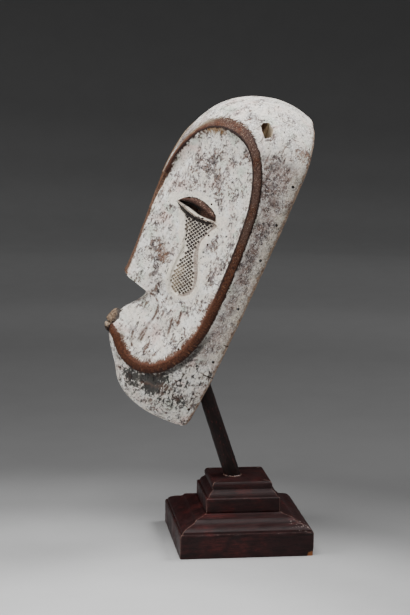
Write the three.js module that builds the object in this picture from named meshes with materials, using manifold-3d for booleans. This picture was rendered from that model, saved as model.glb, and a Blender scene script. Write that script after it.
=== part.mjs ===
import * as THREE from "three";
import { mergeVertices } from "three/addons/utils/BufferGeometryUtils.js";
import Module from "manifold-3d";

const wasm = await Module();
wasm.setup();
const { PI, abs, asin, cos, exp, max, min, sin } = Math;
const { clamp, lerp, smoothstep } = THREE.MathUtils;
const degrees = PI / 180;

// Driving dimensions in millimetres. X is across the mask, its own left positive, the mask
// faces -Y, and Z is up from the underside of the stand. Points of the mask are
// [across, height along the mask, forward of the plane of its rim].
const joinGap = 0.3;

const mask = {
  lean: 21.7 * degrees,
  rimFootY: -43.4,
  rimFootZ: 116.5,
  rimRound: 6,
  rimRoundRows: 3,
  wall: 9,
};

// The rounded block that the mask is carved from.
const block = {
  midHeight: 140,
  crownRise: 146.5,
  chinDrop: 154,
  depth: 105.3,
  chinHalfWidth: 35,
  widening: 0.18,
  profilePower: 3.1,
  crossPower: 2.2,
  temple: { swell: 0.07, height: 250, reach: 24 },
  crownTuck: { drop: 7, reach: 36 },
  chinBite: { depth: 0.055, height: 18, reach: 16 },
};

// The brow-and-jaw ridge that frames the face, from the nose root round to under the mouth.
const ridge = {
  halfWidth: 4.1,
  browWidening: 1.5,
  browShare: 0.16,
  browReach: 0.1,
  proud: 1,
  step: 3.4,
  endProud: 0.25,
  endStep: 0.4,
  startFade: 0.05,
  endFade: 0.03,
  path: [
    [4.4, 190, 104],
    [8.5, 205, 102],
    [14, 219, 99],
    [22.5, 232.2, 93.9],
    [34, 244, 85],
    [47, 248.3, 74],
    [59, 245.5, 60],
    [66.3, 235, 47.5],
    [68.4, 214, 37],
    [67.3, 189, 30.7],
    [63.6, 162, 28.1],
    [58, 130, 26.6],
    [52.1, 98.5, 26.3],
    [46.2, 73.5, 28],
    [38.8, 48.5, 35.5],
    [31.5, 31.5, 50],
    [25.2, 25.8, 66],
    [18.6, 31, 83],
    [14, 43.3, 93],
    [5, 48.5, 96.5],
  ],
};

// The ridge's rounded back: [share of its half width, share of its height].
const ridgeSection = [
  [0.72, 0.8],
  [0, 1],
  [-0.6, 0.6],
];

// The near edge of the nose, its underside, the lip and the mouth.
const keelPath = [
  [7.6, 190, 103.6],
  [5.2, 174, 103.6],
  [4.6, 140, 102.6],
  [5, 118, 101.8],
  [6, 103, 101.8],
  [7, 97.5, 102.2],
  [8.5, 94.8, 100],
  [11, 92.3, 92],
  [13, 90.2, 84.5],
  [14, 88, 78.5],
  [13, 84.6, 76.4],
  [9, 80.3, 78.8],
  [6.5, 74.5, 84],
  [5.8, 68.5, 89.3],
  [5.5, 58, 95.3],
  [5, 54, 95.6],
];

// The cheeks are dished, and the muzzle swells round the mouth.
const face = { dish: 6.5, fullDishLength: 60, dishGrown: 0.16, rows: 9 };
const muzzle = { start: 0.66, grown: 0.78, flattening: 0.75, bulge: 2.6, width: 34, fade: 0.12 };
const band = { rows: 7 };
const columns = { forehead: 14, rim: 34, chin: 12 };
const borderStartHeight = 192;
const borderEndHeight = 43;

const hollow = {
  top: 267,
  bottom: -3,
  rows: 9,
  depthAt: [
    [-3, 46],
    [45, 58],
    [85, 65],
    [110, 76],
    [150, 85],
    [200, 88],
    [240, 92],
    [267, 94],
  ],
  faceSharpness: 1.28,
  domeSharpness: 2.1,
  domeFrom: [190, 245],
};

const mouth = {
  height: 54,
  forward: 95.4,
  halfWidth: 10.5,
  halfHeight: 10.8,
  reach: 8.2,
  slitWidth: 15.8,
  slitDepth: 5.7,
  slitHeight: 1.7,
};

const eye = {
  inner: [18.6, 173, 85],
  outer: [42.7, 170.5, 53],
  thickness: 4,
  halfHeight: 8.3,
  slitLength: 22,
  slitHeight: 3.2,
  slitDepth: 60,
};

// The sunk tear panel below each eye, seen from the side: [height, forward].
const tearPanel = {
  sunk: [1.3, 0.9],
  reach: 60,
  outline: [
    [165.5, 77.5],
    [155, 72],
    [139, 68],
    [124.5, 68.3],
    [110.5, 68],
    [101, 64.5],
    [96.5, 57],
    [98.5, 50.5],
    [105.3, 46.9],
    [118, 47.8],
    [131, 52.4],
    [146, 56.2],
    [159, 52.9],
    [166, 50],
  ],
};

const cordHole = { across: 55, height: 257, forward: 44, size: 9, turn: 28 * degrees, depth: 40 };
const rimHoles = {
  heights: [6, 55.5, 107.5, 153.5, 186.5, 240],
  forward: 7.5,
  diameter: 2.6,
  depth: 30,
  sides: 6,
};

const rod = {
  footY: -5.2,
  lean: 18.4 * degrees,
  footDiameter: 14.6,
  topDiameter: 11.2,
  length: 193.7,
  sides: 24,
};

// Each block of the stand: [half width, height above its own underside].
const lowerPlinth = {
  profile: [
    [59, 0],
    [59, 20.6],
    [58.3, 21.5],
    [57.2, 21.7],
    [56.6, 23.4],
    [54.6, 25],
    [52, 26.2],
    [49, 26.9],
    [46.2, 27.9],
    [44.4, 29.2],
    [43.3, 30.6],
    [41.2, 31.1],
    [35.6, 32.3],
    [34.2, 33.2],
  ],
};
const upperPlinth = {
  profile: [
    [33.1, 0],
    [33, 12.1],
    [32.3, 12.9],
    [31.1, 13],
    [30.7, 14],
    [30, 15.6],
    [28.6, 17.2],
    [27.1, 18.3],
    [26.4, 19.2],
    [26.5, 20],
    [27, 21.4],
    [26.9, 23.2],
    [26.1, 24.9],
    [25.3, 25.7],
  ],
};

const latitudeOf = (height) => {
  const offset = height - block.midHeight;
  return asin(offset / (offset > 0 ? block.crownRise : block.chinDrop));
};

function blockHalfWidth(height) {
  const { swell, height: middle, reach } = block.temple;
  const straight = block.chinHalfWidth + block.widening * height;
  return straight * (1 + swell * exp(-(((height - middle) / reach) ** 2)));
}

// 1 on the block's surface, less inside it.
function fullness({ x, y, z }) {
  const offset = y - block.midHeight;
  const rise = offset > 0 ? block.crownRise : block.chinDrop;
  return (
    abs(offset / rise) ** block.profilePower +
    abs(z / block.depth) ** block.profilePower +
    abs(x / blockHalfWidth(y)) ** block.crossPower
  );
}

const blockCentre = new THREE.Vector3(0, block.midHeight, mask.rimRound);
const lowestHeight = -150;
const farthestShare = 8;
const halvings = 46;

// The place on the block's surface straight out from its centre through a point.
function ontoBlock(point) {
  const way = point.clone().sub(blockCentre);
  const at = (share) => {
    const p = blockCentre.clone().addScaledVector(way, share);
    p.y = max(p.y, lowestHeight);
    return p;
  };
  let [low, high] = [0, farthestShare];
  for (let i = 0; i < halvings; i++) {
    const middle = (low + high) / 2;
    if (fullness(at(middle)) > 1) high = middle;
    else low = middle;
  }
  return at(low);
}

function blockNormal(point) {
  const step = 0.05;
  const near = (way, distance) => fullness(point.clone().addScaledVector(way, distance));
  const slope = (way) => near(way, step) - near(way, -step);
  return new THREE.Vector3(
    slope(new THREE.Vector3(1, 0, 0)),
    slope(new THREE.Vector3(0, 1, 0)),
    slope(new THREE.Vector3(0, 0, 1)),
  ).normalize();
}

// The crown's lower back edge and the chin's hollowed front, worked into every outer point.
function settle(point) {
  const { crownTuck, chinBite } = block;
  const nearRim = clamp(1 - point.z / crownTuck.reach, 0, 1);
  const nearCrown = clamp((point.y - block.midHeight) / block.crownRise, 0, 1);
  const bite = chinBite.depth * exp(-(((point.y - chinBite.height) / chinBite.reach) ** 2));
  const drop = crownTuck.drop * nearRim ** 2 * nearCrown ** 3;
  return new THREE.Vector3(point.x, point.y - drop, point.z * (1 - bite));
}

// Walks a curve at even real distances.
function evenWalk(pointAt, samples = 900) {
  const points = Array.from({ length: samples + 1 }, (_, i) => pointAt(i / samples));
  const distance = [0];
  for (let i = 1; i <= samples; i++) {
    distance.push(distance[i - 1] + points[i].distanceTo(points[i - 1]));
  }
  return (share) => {
    const wanted = clamp(share, 0, 1) * distance[samples];
    let i = 1;
    while (i < samples && distance[i] < wanted) i++;
    const part = (wanted - distance[i - 1]) / max(distance[i] - distance[i - 1], 1e-9);
    return points[i - 1].clone().lerp(points[i], clamp(part, 0, 1));
  };
}

function smoothCurve(path) {
  const curve = new THREE.CatmullRomCurve3(
    path.map((p) => new THREE.Vector3(...p)),
    false,
    "centripetal",
  );
  return (t) => curve.getPoint(t);
}

const ridgeCurve = smoothCurve(ridge.path);
const ridgeWalk = evenWalk((t) => ontoBlock(ridgeCurve(t)));
const keelWalk = evenWalk(smoothCurve(keelPath));

const rimLatitude = (() => {
  const share = (mask.rimRound / block.depth) ** block.profilePower;
  return asin((1 - share) ** (1 / block.profilePower));
})();
const riseAt = (latitude) => (latitude > 0 ? block.crownRise : block.chinDrop);

function middleLine(latitude) {
  const section = max(0, 1 - abs(sin(latitude)) ** block.profilePower);
  const height = block.midHeight + riseAt(latitude) * sin(latitude);
  return new THREE.Vector3(0, height, block.depth * section ** (1 / block.profilePower));
}

function rimLine(latitude) {
  const height = block.midHeight + riseAt(latitude) * sin(latitude);
  const forwardShare = (mask.rimRound / block.depth) ** block.profilePower;
  const left = max(0, 1 - abs(sin(latitude)) ** block.profilePower - forwardShare);
  return new THREE.Vector3(blockHalfWidth(height) * left ** (1 / block.crossPower), height, mask.rimRound);
}

// Outer border of the band outside the ridge: forehead line, rim, chin line.
const startLatitude = latitudeOf(borderStartHeight);
const endLatitude = latitudeOf(borderEndHeight);
const borderWalks = [
  [columns.forehead, evenWalk((t) => middleLine(lerp(startLatitude, rimLatitude, t)))],
  [columns.rim, evenWalk((t) => rimLine(rimLatitude * cos(PI * t)))],
  [columns.chin, evenWalk((t) => middleLine(lerp(-rimLatitude, endLatitude, t)))],
];

function ridgeFrame(share) {
  const nearby = 0.004;
  const here = ridgeWalk(share);
  const along = ridgeWalk(share + nearby).sub(ridgeWalk(share - nearby)).normalize();
  const out = blockNormal(here);
  const inward = along.clone().cross(out).normalize();
  const fade = clamp(share / ridge.startFade, 0, 1) * clamp((1 - share) / ridge.endFade, 0, 1);
  const brow = exp(-(((share - ridge.browShare) / ridge.browReach) ** 2));
  return {
    here,
    out,
    inward,
    halfWidth: ridge.halfWidth + ridge.browWidening * brow,
    step: lerp(ridge.endStep, ridge.step, fade),
    proud: lerp(ridge.endProud, ridge.proud, fade),
  };
}

// One row of points from the middle line of the face, over the ridge, out to the border.
function columnPoints(share, border) {
  const { here, out, inward, halfWidth, step, proud } = ridgeFrame(share);
  const at = (sideways, outward) => {
    const p = here.clone().addScaledVector(inward, sideways * halfWidth).addScaledVector(out, outward);
    p.x = max(p.x, 0);
    return p;
  };
  const foot = at(1, -step);
  const keel = keelWalk(share);
  const length = foot.distanceTo(keel);
  const calm = smoothstep(share, muzzle.start, muzzle.grown);
  const room = min(1, length / face.fullDishLength) * clamp(share / face.dishGrown, 0, 1);
  const dish = face.dish * room * (1 - muzzle.flattening * calm);
  const bulge = calm * muzzle.bulge * min(1, (1 - share) / muzzle.fade);
  const points = [];
  for (let i = 0; i <= face.rows; i++) {
    const gone = i / face.rows;
    const p = keel.clone().lerp(foot, gone);
    p.x += bulge * sin(PI * clamp((gone * length) / muzzle.width, 0, 1)) - dish * sin(PI * gone);
    points.push(p);
  }
  for (const [sideways, rise] of ridgeSection) points.push(at(sideways, rise * proud));
  const outerFoot = ontoBlock(at(-1, 0));
  for (let i = 0; i <= band.rows; i++) {
    points.push(ontoBlock(outerFoot.clone().lerp(border, i / band.rows)));
  }
  return points;
}

// A sheet of quads between neighbouring columns, on both sides of the mask.
function addSheet(triangles, sheet) {
  for (let i = 0; i + 1 < sheet.length; i++) {
    for (let j = 0; j + 1 < sheet[i].length; j++) {
      const [a, b, c, d] = [sheet[i][j], sheet[i + 1][j], sheet[i + 1][j + 1], sheet[i][j + 1]];
      const faces = [
        [a, b, c],
        [a, c, d],
      ];
      for (const [p, q, r] of faces) {
        triangles.push([p, q, r]);
        triangles.push([p, r, q].map((v) => new THREE.Vector3(-v.x, v.y, v.z)));
      }
    }
  }
}

const onMiddle = (points) => points.map((p) => new THREE.Vector3(0, p.y, p.z));

function maskColumns() {
  const total = columns.forehead + columns.rim + columns.chin;
  const made = [];
  let index = 0;
  for (const [count, walk] of borderWalks) {
    for (let i = index === 0 ? 0 : 1; i <= count; i++) {
      made.push(columnPoints((index + i) / total, walk(i / count)));
    }
    index += count;
  }
  return made;
}

const interpolate = (table, at) => {
  let i = 1;
  while (i < table.length - 1 && table[i][0] < at) i++;
  const [x0, y0] = table[i - 1];
  const [x1, y1] = table[i];
  return y0 + ((y1 - y0) * (at - x0)) / (x1 - x0);
};

// The scooped hollow: one arc from the rim's inner edge to the middle for each rim column.
function hollowArc(rimPoint) {
  const middle = (hollow.top + hollow.bottom) / 2;
  const half = (hollow.top - hollow.bottom) / 2;
  const outerMiddle = block.midHeight + ((block.crownRise - block.chinDrop) / 2) * sin(rimLatitude);
  const outerHalf = ((block.crownRise + block.chinDrop) / 2) * sin(rimLatitude);
  const share = clamp((rimPoint.y - outerMiddle) / outerHalf, -1, 1);
  const height = middle + half * share;
  const section = max(0, 1 - abs(share) ** block.profilePower);
  const across = max(0, blockHalfWidth(height) - mask.wall) * section ** (1 / block.crossPower);
  const reach = interpolate(hollow.depthAt, height) * section ** (1 / block.profilePower);
  const domed = smoothstep(height, ...hollow.domeFrom);
  const sharpness = lerp(hollow.faceSharpness, hollow.domeSharpness, domed);
  const points = [];
  for (let i = 0; i <= hollow.rows; i++) {
    const a = (PI / 2) * (i / hollow.rows);
    const x = i === hollow.rows ? 0 : across * cos(a) ** (2 / sharpness);
    points.push(new THREE.Vector3(x, height, reach * sin(a) ** (2 / sharpness)));
  }
  return points;
}

function solidFrom(triangles) {
  const position = triangles.flatMap((t) => t.flatMap((p) => [p.x, -p.z, p.y]));
  const geometry = new THREE.BufferGeometry();
  geometry.setAttribute("position", new THREE.Float32BufferAttribute(position, 3));
  return manifoldOf(geometry);
}

function manifoldOf(geometry) {
  const bare = geometry.clone();
  bare.deleteAttribute("normal");
  bare.deleteAttribute("uv");
  const merged = mergeVertices(bare, 2e-3);
  const kept = [];
  for (let i = 0; i < merged.index.count; i += 3) {
    const [a, b, c] = [merged.index.getX(i), merged.index.getX(i + 1), merged.index.getX(i + 2)];
    if (a !== b && b !== c && a !== c) kept.push(a, b, c);
  }
  return new wasm.Manifold(
    new wasm.Mesh({
      numProp: 3,
      vertProperties: merged.attributes.position.array,
      triVerts: new Uint32Array(kept),
    }),
  );
}

function geometryOf(solid) {
  const mesh = solid.getMesh();
  const geometry = new THREE.BufferGeometry();
  geometry.setAttribute("position", new THREE.Float32BufferAttribute(mesh.vertProperties, 3));
  geometry.setIndex(new THREE.Uint32BufferAttribute(mesh.triVerts, 1));
  const flat = geometry.toNonIndexed();
  flat.computeVertexNormals();
  return flat;
}

function carvedShell() {
  const triangles = [];
  const all = maskColumns();
  const settled = all.map((column) => column.map(settle));
  addSheet(triangles, [onMiddle(settled[0]), ...settled, onMiddle(settled.at(-1))]);
  addSheet(
    triangles,
    settled.map((column) => [onMiddle(column)[0], column[0]]),
  );
  const rimEdges = all.slice(columns.forehead, columns.forehead + columns.rim + 1).map((c) => c.at(-1));
  const rimRows = rimEdges.map((edge, i) => {
    const before = rimEdges[max(0, i - 1)];
    const after = rimEdges[min(columns.rim, i + 1)];
    const along = after.clone().sub(before).setZ(0).normalize();
    const inwardWay = new THREE.Vector3(along.y, -along.x, 0);
    if (i === 0 || i === columns.rim) inwardWay.set(0, i === 0 ? -1 : 1, 0);
    const points = [];
    for (let k = 0; k <= mask.rimRoundRows; k++) {
      const a = (PI / 2) * (k / mask.rimRoundRows);
      const p = edge.clone().addScaledVector(inwardWay, mask.rimRound * (1 - cos(a)));
      p.x = max(p.x, 0);
      p.z = mask.rimRound * (1 - sin(a));
      points.push(settle(p));
    }
    return [...points, ...hollowArc(edge)];
  });
  addSheet(triangles, rimRows);
  return solidFrom(triangles);
}

const toLocal = ([across, height, forward]) => new THREE.Vector3(across, -forward, height);
const mirrorX = (solid) => solid.mirror([1, 0, 0]);

function placed(geometry, position, directions) {
  const matrix = new THREE.Matrix4();
  if (directions) matrix.makeBasis(...directions);
  matrix.setPosition(position);
  return manifoldOf(geometry.applyMatrix4(matrix));
}

function eyeParts() {
  const inner = toLocal(eye.inner);
  const outer = toLocal(eye.outer);
  const along = outer.clone().sub(inner);
  const length = along.length();
  along.normalize();
  const out = new THREE.Vector3(0, 0, 1).cross(along).normalize();
  const rise = along.clone().cross(out).normalize();
  const frame = [along, rise, along.clone().cross(rise)];
  const centre = inner.clone().add(outer).multiplyScalar(0.5);
  const lid = new THREE.SphereGeometry(1, 18, 10);
  lid.scale(length / 2, eye.halfHeight, eye.thickness);
  const slit = new THREE.BoxGeometry(eye.slitLength, eye.slitHeight, eye.slitDepth);
  return [placed(lid, centre, frame), placed(slit, centre, frame)];
}

// Everything inside the tear panel's outline except the cheek lowered by the panel's depth.
function tearTool(shell) {
  const { outline, reach, sunk } = tearPanel;
  const corners = [...outline, outline[0]].map(([height, forward]) => new THREE.Vector2(-forward, height));
  const shape = new THREE.Shape(new THREE.SplineCurve(corners).getPoints(2 * corners.length));
  const prism = new THREE.ExtrudeGeometry(shape, { depth: reach, bevelEnabled: false });
  const sideways = new THREE.Matrix4().makeBasis(
    new THREE.Vector3(0, 1, 0),
    new THREE.Vector3(0, 0, 1),
    new THREE.Vector3(1, 0, 0),
  );
  const lowered = shell.translate([-sunk[0], sunk[1], 0]);
  return manifoldOf(prism.applyMatrix4(sideways)).subtract(lowered);
}

function mouthStub() {
  const stub = new THREE.SphereGeometry(1, 18, 12);
  stub.scale(mouth.halfWidth, mouth.reach, mouth.halfHeight);
  const lips = placed(stub, toLocal([0, mouth.height, mouth.forward]));
  const slit = new THREE.BoxGeometry(mouth.slitWidth, mouth.slitDepth, mouth.slitHeight);
  return lips.subtract(placed(slit, toLocal([0, mouth.height, mouth.forward + mouth.reach])));
}

function holeTools() {
  const cut = new THREE.BoxGeometry(cordHole.depth, cordHole.size, cordHole.size);
  cut.rotateX(cordHole.turn);
  const tools = [placed(cut, toLocal([cordHole.across, cordHole.height, cordHole.forward]))];
  const radius = rimHoles.diameter / 2;
  for (const height of rimHoles.heights) {
    const drill = new THREE.CylinderGeometry(radius, radius, rimHoles.depth, rimHoles.sides);
    drill.rotateZ(PI / 2);
    tools.push(placed(drill, toLocal([rimLine(latitudeOf(height)).x, height, rimHoles.forward])));
  }
  return tools;
}

function maskSolid() {
  let solid = carvedShell();
  const [lid, slit] = eyeParts();
  const panel = tearTool(solid);
  const bothSides = (tool) => tool.add(mirrorX(tool));
  solid = solid.subtract(bothSides(panel)).add(bothSides(lid)).add(mouthStub());
  for (const tool of [slit, ...holeTools()]) solid = solid.subtract(bothSides(tool));
  return solid;
}

// A square block with the same moulding on its four sides.
function mouldedBlock({ profile }, baseHeight) {
  const sides = 4;
  const corners = [[0, 0], ...profile, [0, profile.at(-1)[1]]];
  const points = corners.map(([half, z]) => new THREE.Vector2(half * Math.SQRT2, z));
  const moulded = new THREE.LatheGeometry(points, sides);
  moulded.rotateX(PI / 2);
  moulded.rotateZ(PI / sides);
  moulded.translate(0, 0, baseHeight);
  return manifoldOf(moulded);
}

// A leaning bar made too long at its foot and cut off level.
function rodSolid(footHeight) {
  const spare = rod.footDiameter;
  const radii = [rod.topDiameter / 2, rod.footDiameter / 2];
  const bar = new THREE.CylinderGeometry(...radii, rod.length + spare, rod.sides);
  bar.translate(0, (rod.length - spare) / 2, 0);
  bar.rotateX(PI / 2 + rod.lean);
  bar.translate(0, rod.footY, footHeight);
  const below = new THREE.BoxGeometry(4 * spare, 4 * spare, 2 * spare);
  below.translate(0, rod.footY, footHeight - spare);
  return manifoldOf(bar).subtract(manifoldOf(below));
}

const kaolinWhite = new THREE.MeshStandardMaterial({ color: 0xc9c2b8, roughness: 0.92, metalness: 0 });
const darkRod = new THREE.MeshStandardMaterial({ color: 0x1d1512, roughness: 0.5, metalness: 0 });
const stainedWood = new THREE.MeshStandardMaterial({ color: 0x3a2023, roughness: 0.45, metalness: 0 });

const object = new THREE.Group();

function addMesh(parent, name, solid, material) {
  const mesh = new THREE.Mesh(geometryOf(solid), material);
  mesh.name = name;
  parent.add(mesh);
  return mesh;
}

const maskGroup = new THREE.Group();
maskGroup.position.set(0, mask.rimFootY, mask.rimFootZ);
maskGroup.rotation.x = -mask.lean;
object.add(maskGroup);
addMesh(maskGroup, "mask", maskSolid(), kaolinWhite);

const lowerTop = lowerPlinth.profile.at(-1)[1];
const upperFoot = lowerTop + joinGap;
const upperTop = upperFoot + upperPlinth.profile.at(-1)[1];
addMesh(object, "lower_plinth", mouldedBlock(lowerPlinth, 0), stainedWood);
addMesh(object, "upper_plinth", mouldedBlock(upperPlinth, upperFoot), stainedWood);
addMesh(object, "rod", rodSolid(upperTop + joinGap), darkRod);

export default object;
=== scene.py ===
import math

import bmesh
import bpy
import numpy as np
from mathutils import Matrix, Vector, kdtree, noise


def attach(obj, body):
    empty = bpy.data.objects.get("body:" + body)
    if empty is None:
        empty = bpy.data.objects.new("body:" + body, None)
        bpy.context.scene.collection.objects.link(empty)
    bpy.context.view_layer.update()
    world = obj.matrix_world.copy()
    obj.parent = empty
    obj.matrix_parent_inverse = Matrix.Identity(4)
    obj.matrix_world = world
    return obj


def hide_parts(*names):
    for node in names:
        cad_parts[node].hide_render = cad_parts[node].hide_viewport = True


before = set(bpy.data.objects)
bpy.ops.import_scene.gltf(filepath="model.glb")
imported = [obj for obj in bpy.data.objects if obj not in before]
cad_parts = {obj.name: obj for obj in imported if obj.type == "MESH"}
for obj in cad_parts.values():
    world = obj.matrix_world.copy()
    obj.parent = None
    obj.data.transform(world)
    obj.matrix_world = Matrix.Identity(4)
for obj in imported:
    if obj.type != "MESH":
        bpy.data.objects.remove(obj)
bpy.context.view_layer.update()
mm = 0.001


# Camera, lights and floor

cameraSetup = {
    "place": (1.5288, -0.2412, 0.4761),
    "yaw": -7.8,
    "down": 9.73,
    "roll": 0.71,
    "focalPixels": 1776.8,
    "frameHeight": 615,
    "sensor": 36.0,
}


def addCamera():
    s = cameraSetup
    yaw, down, roll = (math.radians(s[key]) for key in ("yaw", "down", "roll"))
    ahead = -math.cos(down)
    forward = Vector((ahead * math.cos(yaw), ahead * math.sin(yaw), -math.sin(down)))
    level = Vector((-math.sin(yaw), math.cos(yaw), 0))
    upright = level.cross(forward)
    right = math.cos(roll) * level + math.sin(roll) * upright
    up = math.cos(roll) * upright - math.sin(roll) * level
    data = bpy.data.cameras.new("photoCamera")
    data.sensor_fit = "VERTICAL"
    data.sensor_height = s["sensor"]
    data.lens = s["focalPixels"] / s["frameHeight"] * s["sensor"]
    data.clip_end = 100
    camera = bpy.data.objects.new("photoCamera", data)
    bpy.context.collection.objects.link(camera)
    turn = Matrix((right, up, -forward)).transposed().to_4x4()
    camera.matrix_world = Matrix.Translation(s["place"]) @ turn
    bpy.context.scene.camera = camera


lightSetup = {
    "overhead": {"place": (0.3, -0.22, 1.25), "aim": (0.05, -0.05, 0.1), "size": 0.7, "power": 15},
    "left": {"place": (0.3, -1.3, 0.8), "aim": (0, 0, 0.2), "size": 0.9, "power": 11},
    "right": {"place": (-0.15, 0.85, 1.3), "aim": (0, 0, 0.33), "size": 0.6, "power": 13},
    "front": {"place": (1.6, 0.5, 1.5), "aim": (0, 0, 0.25), "size": 0.8, "power": 5},
    "ambient": (0.03, 0.031, 0.033),
}


def addLights():
    for name in ("overhead", "left", "right", "front"):
        s = lightSetup[name]
        data = bpy.data.lights.new(name + "Light", "AREA")
        data.size = s["size"]
        data.energy = s["power"]
        light = bpy.data.objects.new(name + "Light", data)
        light.visible_camera = False
        light.location = s["place"]
        aim = Vector(s["aim"]) - Vector(s["place"])
        light.rotation_euler = aim.to_track_quat("-Z", "Y").to_euler()
        bpy.context.collection.objects.link(light)
    world = bpy.data.worlds.new("studio")
    world.use_nodes = True
    world.node_tree.nodes["Background"].inputs["Color"].default_value = (*lightSetup["ambient"], 1)
    bpy.context.scene.world = world


# Node building

def tone(red, green, blue):
    # a screen colour as the linear colour that nodes use
    share = [c / 255 for c in (red, green, blue)]
    return tuple(c / 12.92 if c < 0.04 else ((c + 0.055) / 1.055) ** 2.4 for c in share)


class Nodes:
    # short ways to add nodes to a tree and join them

    def __init__(self, tree):
        self.tree = tree

    def add(self, kind, **settings):
        made = self.tree.nodes.new(kind)
        for key, setting in settings.items():
            setattr(made, key, setting)
        return made

    def put(self, socket, content):
        if isinstance(content, bpy.types.NodeSocket):
            self.tree.links.new(content, socket)
        elif socket.type == "RGBA" and len(content) == 3:
            socket.default_value = (*content, 1)
        else:
            socket.default_value = content

    def fed(self, kind, inputs, **settings):
        # a new node's outputs, after its inputs are filled by their names or in their order
        made = self.add(kind, **settings)
        named = inputs.items() if isinstance(inputs, dict) else enumerate(inputs)
        for key, content in named:
            self.put(made.inputs[key], content)
        return made.outputs

    def maths(self, operation, *inputs):
        return self.fed("ShaderNodeMath", inputs, operation=operation)[0]

    def sum(self, *inputs):
        total = inputs[0]
        for content in inputs[1:]:
            total = self.maths("ADD", total, content)
        return total

    def product(self, *inputs):
        total = inputs[0]
        for content in inputs[1:]:
            total = self.maths("MULTIPLY", total, content)
        return total

    def step(self, value, low, high, bottom=0.0, top=1.0):
        inputs = (value, low, high, bottom, top)
        return self.fed("ShaderNodeMapRange", inputs, interpolation_type="SMOOTHSTEP")[0]

    def between(self, value, low, high, soft):
        # 1 inside the range, fading over the softness at both ends
        rise = self.step(self.maths("SUBTRACT", value, low), -soft, soft)
        return self.product(rise, self.step(self.maths("SUBTRACT", value, high), -soft, soft, 1.0, 0.0))

    def mix(self, share, first, second, blend="MIX"):
        inputs = {"Factor": share, 6: first, 7: second}
        return self.fed("ShaderNodeMix", inputs, data_type="RGBA", blend_type=blend)[2]

    def mixNumber(self, share, first, second):
        return self.fed("ShaderNodeMix", {0: share, 2: first, 3: second}, data_type="FLOAT")[0]

    def vector(self, operation, *inputs):
        return self.fed("ShaderNodeVectorMath", inputs, operation=operation)["Vector"]

    def scaled(self, vector, factor):
        inputs = {"Vector": vector, "Scale": factor}
        return self.fed("ShaderNodeVectorMath", inputs, operation="SCALE")["Vector"]

    def length(self, vector):
        return self.fed("ShaderNodeVectorMath", [vector], operation="LENGTH")["Value"]

    def joined(self, x, y, z):
        return self.fed("ShaderNodeCombineXYZ", (x, y, z))["Vector"]

    def split(self, vector):
        parts = self.fed("ShaderNodeSeparateXYZ", [vector])
        return parts["X"], parts["Y"], parts["Z"]

    def noise(self, place, scale, detail=3.0, rough=0.55, warp=0.0):
        inputs = {"Vector": place, "Scale": scale, "Detail": detail, "Roughness": rough, "Distortion": warp}
        return self.fed("ShaderNodeTexNoise", inputs)["Fac"]

    def cells(self, place, scale, feature="F1"):
        inputs = {"Vector": place, "Scale": scale}
        return self.fed("ShaderNodeTexVoronoi", inputs, feature=feature)["Distance"]

    def attribute(self, name):
        return self.add("ShaderNodeAttribute", attribute_name=name).outputs["Fac"]

    def mapped(self, place, scale=(1, 1, 1), turn=(0, 0, 0), shift=(0, 0, 0)):
        inputs = {"Vector": place, "Scale": scale, "Rotation": turn, "Location": shift}
        return self.fed("ShaderNodeMapping", inputs)["Vector"]

    def group(self, tree, **values):
        return self.fed(self.tree.bl_idname.replace("Tree", "Group"), values, node_tree=tree)

    def bump(self, height, distance):
        return self.fed("ShaderNodeBump", {"Height": height, "Distance": distance})["Normal"]


def newMaterial(name):
    material = bpy.data.materials.new(name)
    material.use_nodes = True
    return material, Nodes(material.node_tree)


def finishMaterial(n, colour, roughness, gloss=0.5, height=None, bump=0.0):
    # what each material sets on its shader; the bump is in millimetres
    shader = n.tree.nodes["Principled BSDF"]
    n.put(shader.inputs["Base Color"], colour)
    n.put(shader.inputs["Roughness"], roughness)
    n.put(shader.inputs["Specular IOR Level"], gloss)
    if height is not None:
        n.put(shader.inputs["Normal"], n.bump(height, bump * mm))


def newGroup(name, kind, inputs, outputs):
    tree = bpy.data.node_groups.new(name, kind)
    for label, socketKind, start in inputs:
        socket = tree.interface.new_socket(label, in_out="INPUT", socket_type="NodeSocket" + socketKind)
        if start is not None:
            socket.default_value = start
    for label, socketKind in outputs:
        tree.interface.new_socket(label, in_out="OUTPUT", socket_type="NodeSocket" + socketKind)
    n = Nodes(tree)
    return tree, n, n.add("NodeGroupInput").outputs, n.add("NodeGroupOutput").inputs


def finishTree(n, leave, geometry, material):
    # a geometry tree ends in real geometry with its material
    real = n.fed("GeometryNodeRealizeInstances", {"Geometry": geometry})["Geometry"]
    painted = n.fed("GeometryNodeSetMaterial", {"Geometry": real, "Material": material})["Geometry"]
    n.put(leave["Geometry"], painted)


def fleckGroup():
    # short marks that run along the third axis of their place
    sizes = [("Place", "Vector", None), ("Width", "Float", 1.0), ("Length", "Float", 3.0)]
    sizes.append(("Share", "Float", 0.3))
    tree, n, entry, leave = newGroup("flecks", "ShaderNodeTree", sizes, [("Mask", "Float")])
    size = n.joined(entry["Width"], entry["Width"], entry["Length"])
    tangle = n.noise(n.vector("DIVIDE", entry["Place"], size), 1.0, 1.6, 0.5, 0.15)
    edge = n.sum(n.product(entry["Share"], -0.3), 0.72)
    n.put(leave["Mask"], n.step(n.maths("SUBTRACT", tangle, edge), 0.0, 0.07))
    return tree


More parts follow.
